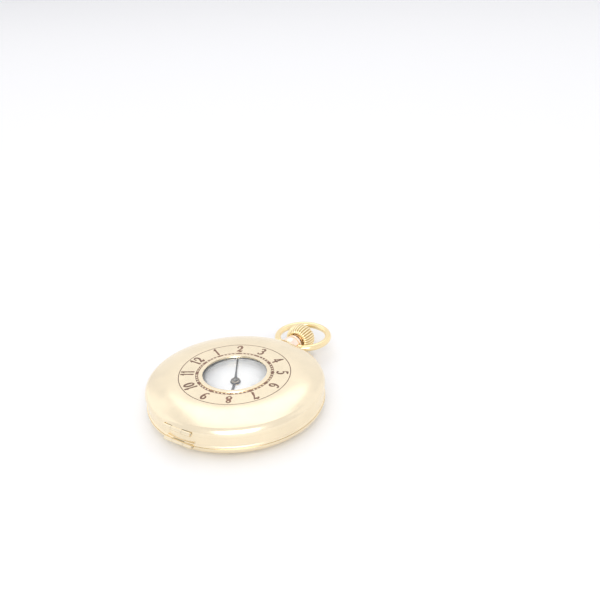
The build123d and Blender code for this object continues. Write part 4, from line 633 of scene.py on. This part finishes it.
def crown_profile():
    """Points from the bottom of the bore, out of the socket, over the knob to the middle of its end.
    Each is (distance along the stem, radius, share of the rib's depth)."""
    points = [(bore_depth, 0.0, 0), (bore_depth, bore_radius, 0), (socket_depth, bore_radius, 0),
              (socket_depth, socket_radius, 0), (mouth_bevel, socket_radius, 0),
              (0.0, socket_radius + mouth_bevel, 0), (0.0, foot_radius - foot_bevel, 0)]
    for row in range(crown_rows + 1):
        turn = pi * row / crown_rows
        bulge = sin(turn) ** knob_fullness
        core = foot_radius + (crown_flat_radius - foot_radius) * row / crown_rows
        radius = core + (crown_radius - core) * bulge
        ribbed = min(1.0, row / rib_rise_at_foot, (crown_rows - row) / rib_rise_at_end)
        points.append((knob_length * (0.5 - 0.5 * cos(turn)), radius, ribbed))
    points += [(crown_length, end_flat_radius, 0), (crown_length, 0.0, 0)]
    return points


def crown_ring(mesh, along, radius, ribbed):
    """Corners round the stem's axis at one place along it, or a single one on the axis."""
    if not radius:
        return [mesh.verts.new((crown_low.x + along, 0.0, stem_axis_level))]
    ring = []
    for index in range(crown_ribs * steps_per_rib):
        turn = 2 * pi * index / (crown_ribs * steps_per_rib)
        groove = 1 - abs(cos(crown_ribs * turn / 2)) ** rib_sharpness
        reach = radius - rib_depth * ribbed * groove
        ring.append(mesh.verts.new((
            crown_low.x + along, reach * cos(turn), stem_axis_level + reach * sin(turn))))
    return ring


crown_knob = bmesh.new()
crown_rings = [crown_ring(crown_knob, *point) for point in crown_profile()]
for here, there in zip(crown_rings, crown_rings[1:]):
    for index in range(crown_ribs * steps_per_rib):
        following = (index + 1) % (crown_ribs * steps_per_rib)
        # Beside the axis two of the four corners are one, so the face is a triangle
        corners = [here[index % len(here)], here[following % len(here)],
                   there[following % len(there)], there[index % len(there)]]
        crown_knob.faces.new(list(dict.fromkeys(corners)))
for face in crown_knob.faces:
    face.smooth = True
crown_piece = new_piece("ribbed_crown", crown_knob, gold_crown, "crown")
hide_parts("crown")


# Gold collet that holds the minute hand on its seat

collet_inner, collet_outer = 0.45 * MM, 1.25 * MM
collet_height, collet_bevel = 0.12 * MM, 0.05 * MM
hand_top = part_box("minute_hand")[1].z
collet = bmesh.new()
add_ring(collet, collet_inner, collet_outer, hand_top, hand_top + collet_height,
         bevel=collet_bevel, segments=48)
new_piece("hand_collet", collet, gold_inside, "minute")


# Gilt settings pressed into the train bridge round its jewels

setting_inner, setting_outer = 0.52 * MM, 0.88 * MM
setting_depth, setting_stand = 0.03 * MM, 0.01 * MM
# Reach of one jewel's rim, of the balance's jewels round its staff, and of one level
jewel_reach, balance_jewel_reach, same_level = 1.2 * MM, 1.5 * MM, 0.01 * MM
bridge_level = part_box("train_bridge")[0].z


def jewel_rims():
    """The rims of the jewels in the train bridge's outer face, each a list of places."""
    staff_low, staff_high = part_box("balance_staff")
    staff = (staff_low + staff_high) / 2
    rims = []
    for vertex in nodes["jewels"].data.vertices:
        place = vertex.co
        on_bridge = abs(place.z - bridge_level) < same_level
        if on_bridge and hypot(place.x - staff.x, place.y - staff.y) > balance_jewel_reach:
            for rim in rims:
                if hypot(place.x - rim[0].x, place.y - rim[0].y) < jewel_reach:
                    rim.append(place.copy())
                    break
            else:
                rims.append([place.copy()])
    return rims


settings = bmesh.new()
for rim in jewel_rims():
    middle = tuple((min(place[axis] for place in rim) + max(place[axis] for place in rim)) / 2
                   for axis in (0, 1))
    add_ring(settings, setting_inner, setting_outer, bridge_level - setting_depth,
             bridge_level + setting_stand, middle, segments=48)
new_piece("jewel_settings", settings, gilt_brass, "case")


# Printing of the dial: hour numbers, minute track and the small seconds track

print_depth = 0.008 * MM
dial_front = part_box("dial")[1].z
seconds_place = (0.0, -10.5 * MM)
seconds_front = dial_front - 0.14 * MM
dial_numeral_radius, dial_numeral_height = 17.3 * MM, 2.7 * MM
track_inner, track_outer, track_line = 19.75 * MM, 20.5 * MM, 0.05 * MM
minute_width, hour_width, hour_overhang = 0.10 * MM, 0.42 * MM, 0.1 * MM
seconds_inner, seconds_outer, seconds_line = 3.85 * MM, 4.3 * MM, 0.03 * MM
seconds_width, fives_width, fives_overhang = 0.06 * MM, 0.11 * MM, 0.25 * MM
seconds_numeral_radius, seconds_numeral_height = 2.85 * MM, 0.85 * MM

dial_numbers = bmesh.new()
for hour in range(1, 13):
    if hour != 6:
        add_number(dial_numbers, str(hour), dial_numeral_radius, 30 * hour, dial_numeral_height,
                   dial_front - print_depth, dial_front + print_depth)
new_piece("dial_numbers", dial_numbers, dial_ink, "case")

dial_lines = bmesh.new()
for radius in (track_inner, track_outer):
    add_ring(dial_lines, radius - track_line, radius + track_line,
             dial_front - print_depth, dial_front + print_depth, segments=180)
new_piece("dial_track_lines", dial_lines, dial_ink, "case")
marks("dial_minutes", "case", dial_ink, 60, track_inner, track_outer,
      minute_width, dial_front, 2 * print_depth, skip=5)
marks("dial_hours", "case", dial_ink, 12, track_inner - hour_overhang,
      track_outer + hour_overhang, hour_width, dial_front, 2.4 * print_depth)

seconds_lines = bmesh.new()
for radius in (seconds_inner, seconds_outer):
    add_ring(seconds_lines, radius - seconds_line, radius + seconds_line,
             seconds_front - print_depth, seconds_front + print_depth, seconds_place)
new_piece("seconds_track_lines", seconds_lines, dial_ink, "case")
marks("seconds_ticks", "case", dial_ink, 60, seconds_inner, seconds_outer,
      seconds_width, seconds_front, 2 * print_depth, centre=seconds_place)
marks("seconds_fives", "case", dial_ink, 12, seconds_inner - fives_overhang,
      seconds_outer, fives_width, seconds_front, 2.4 * print_depth, centre=seconds_place)
seconds_numbers = bmesh.new()
for tens in range(1, 7):
    add_number(seconds_numbers, str(10 * tens), seconds_numeral_radius, 60 * tens,
               seconds_numeral_height, seconds_front - print_depth, seconds_front + print_depth,
               origin=seconds_place, upright=True)
new_piece("seconds_numbers", seconds_numbers, dial_ink, "case")


# Camera at the photograph's place: places in metres, angles in degrees

photo_side = 600
focal_pixels = 769.0
camera_pitch = 26.33
camera_roll = 2.17
camera_height = lid_level + 112.09 * MM
camera_offset = (18.86 * MM, -182.53 * MM)
watch_heading = 56.6

turn_to_watch = radians(-watch_heading)
camera_place = Vector((
    camera_offset[0] * cos(turn_to_watch) - camera_offset[1] * sin(turn_to_watch),
    camera_offset[0] * sin(turn_to_watch) + camera_offset[1] * cos(turn_to_watch),
    camera_height))
ahead = Vector((
    cos(radians(camera_pitch)) * cos(radians(90 - watch_heading)),
    cos(radians(camera_pitch)) * sin(radians(90 - watch_heading)),
    -sin(radians(camera_pitch))))
level_right = ahead.cross(Vector((0, 0, 1))).normalized()
level_up = level_right.cross(ahead)
roll = radians(camera_roll)
camera_right = level_right * cos(roll) - level_up * sin(roll)
camera_up = level_right * sin(roll) + level_up * cos(roll)

camera_data = bpy.data.cameras.new("camera")
camera_data.sensor_width = 36.0
camera_data.lens = focal_pixels * camera_data.sensor_width / photo_side
camera_data.clip_start, camera_data.clip_end = 5 * MM, 20.0
camera = put("camera", camera_data)
camera.matrix_world = Matrix.Translation(camera_place) @ Matrix(
    (camera_right, camera_up, -ahead)).transposed().to_4x4()
bpy.context.scene.camera = camera


# Floor and light: places and sizes in metres, powers in watts

floor_side = 2.6
floor_gap = 0.01 * MM
floor_mesh = bmesh.new()
bmesh.ops.create_grid(floor_mesh, x_segments=2, y_segments=2, size=floor_side / 2)
floor_data = bpy.data.meshes.new("floor")
floor_mesh.to_mesh(floor_data)
floor_mesh.free()
floor = put("floor", floor_data)
floor.location.z = cad_box[0].z - floor_gap
floor_data.materials.append(finish("floor", enamel((0.98, 0.98, 0.98), 0.55, 0.02)))

forward = Vector((ahead.x, ahead.y, 0)).normalized()
sideways = Vector((level_right.x, level_right.y, 0))


def around(side, away, height):
    """A place given to the right of the watch, beyond it and above it, as the camera sees it."""
    return sideways * side + forward * away + Vector((0, 0, height))


def softbox(name, place, side, power, aim_height=0.0):
    """A square lamp turned towards the watch, or towards a point above its middle."""
    data = bpy.data.lights.new(name, "AREA")
    data.shape, data.size, data.energy = "SQUARE", side, power
    lamp = put(name, data)
    lamp.location = place
    aim = Vector((0, 0, aim_height))
    lamp.rotation_euler = (aim - place).to_track_quat("-Z", "Y").to_euler()


softbox("back_softbox", around(0.0, 1.1, 0.62), side=1.3, power=0.2, aim_height=0.1)
softbox("top_softbox", around(0.0, 0.5, 0.9), side=0.8, power=1.15)
softbox("front_softbox", around(0.05, -1.0, 0.62), side=0.9, power=6.2)
softbox("left_softbox", around(-1.0, 0.4, 0.42), side=1.2, power=1.0, aim_height=0.05)
softbox("right_softbox", around(1.0, 0.4, 0.42), side=1.2, power=0.5, aim_height=0.05)

# A narrow beam, no wider than the window, that reaches the dial in the cover's shade
beam_data = bpy.data.lights.new("window_beam", "SPOT")
beam_data.energy, beam_data.shadow_soft_size = 75.0, 5 * MM
beam_data.spot_size, beam_data.spot_blend = radians(1.0), 0.25
beam = put("window_beam", beam_data)
beam.location = around(0.0, -0.90, 0.64)
towards_window = Vector((0, 0, lid_level)) - beam.location
beam.rotation_euler = towards_window.to_track_quat("-Z", "Y").to_euler()

# The room lights softly. The camera, the metal and the glass see it as white past the floor
room_light = 0.8
world = bpy.data.worlds.new("room")
bpy.context.scene.world = world
world.use_nodes = True
room = world.node_tree.nodes["Background"]
room.inputs["Color"].default_value = rgb(0.97, 0.97, 1.0)
light_path = world.node_tree.nodes.new("ShaderNodeLightPath")
seen = Signal(world.node_tree, light_path.outputs["Is Camera Ray"])
for kind in ("Is Glossy Ray", "Is Transmission Ray"):
    seen = seen.maths("MAXIMUM", seen, Signal(world.node_tree, light_path.outputs[kind]))
strength = seen * (1 - room_light) + room_light
world.node_tree.links.new(strength.socket, room.inputs["Strength"])
bpy.context.scene.view_settings.view_transform = "Standard"
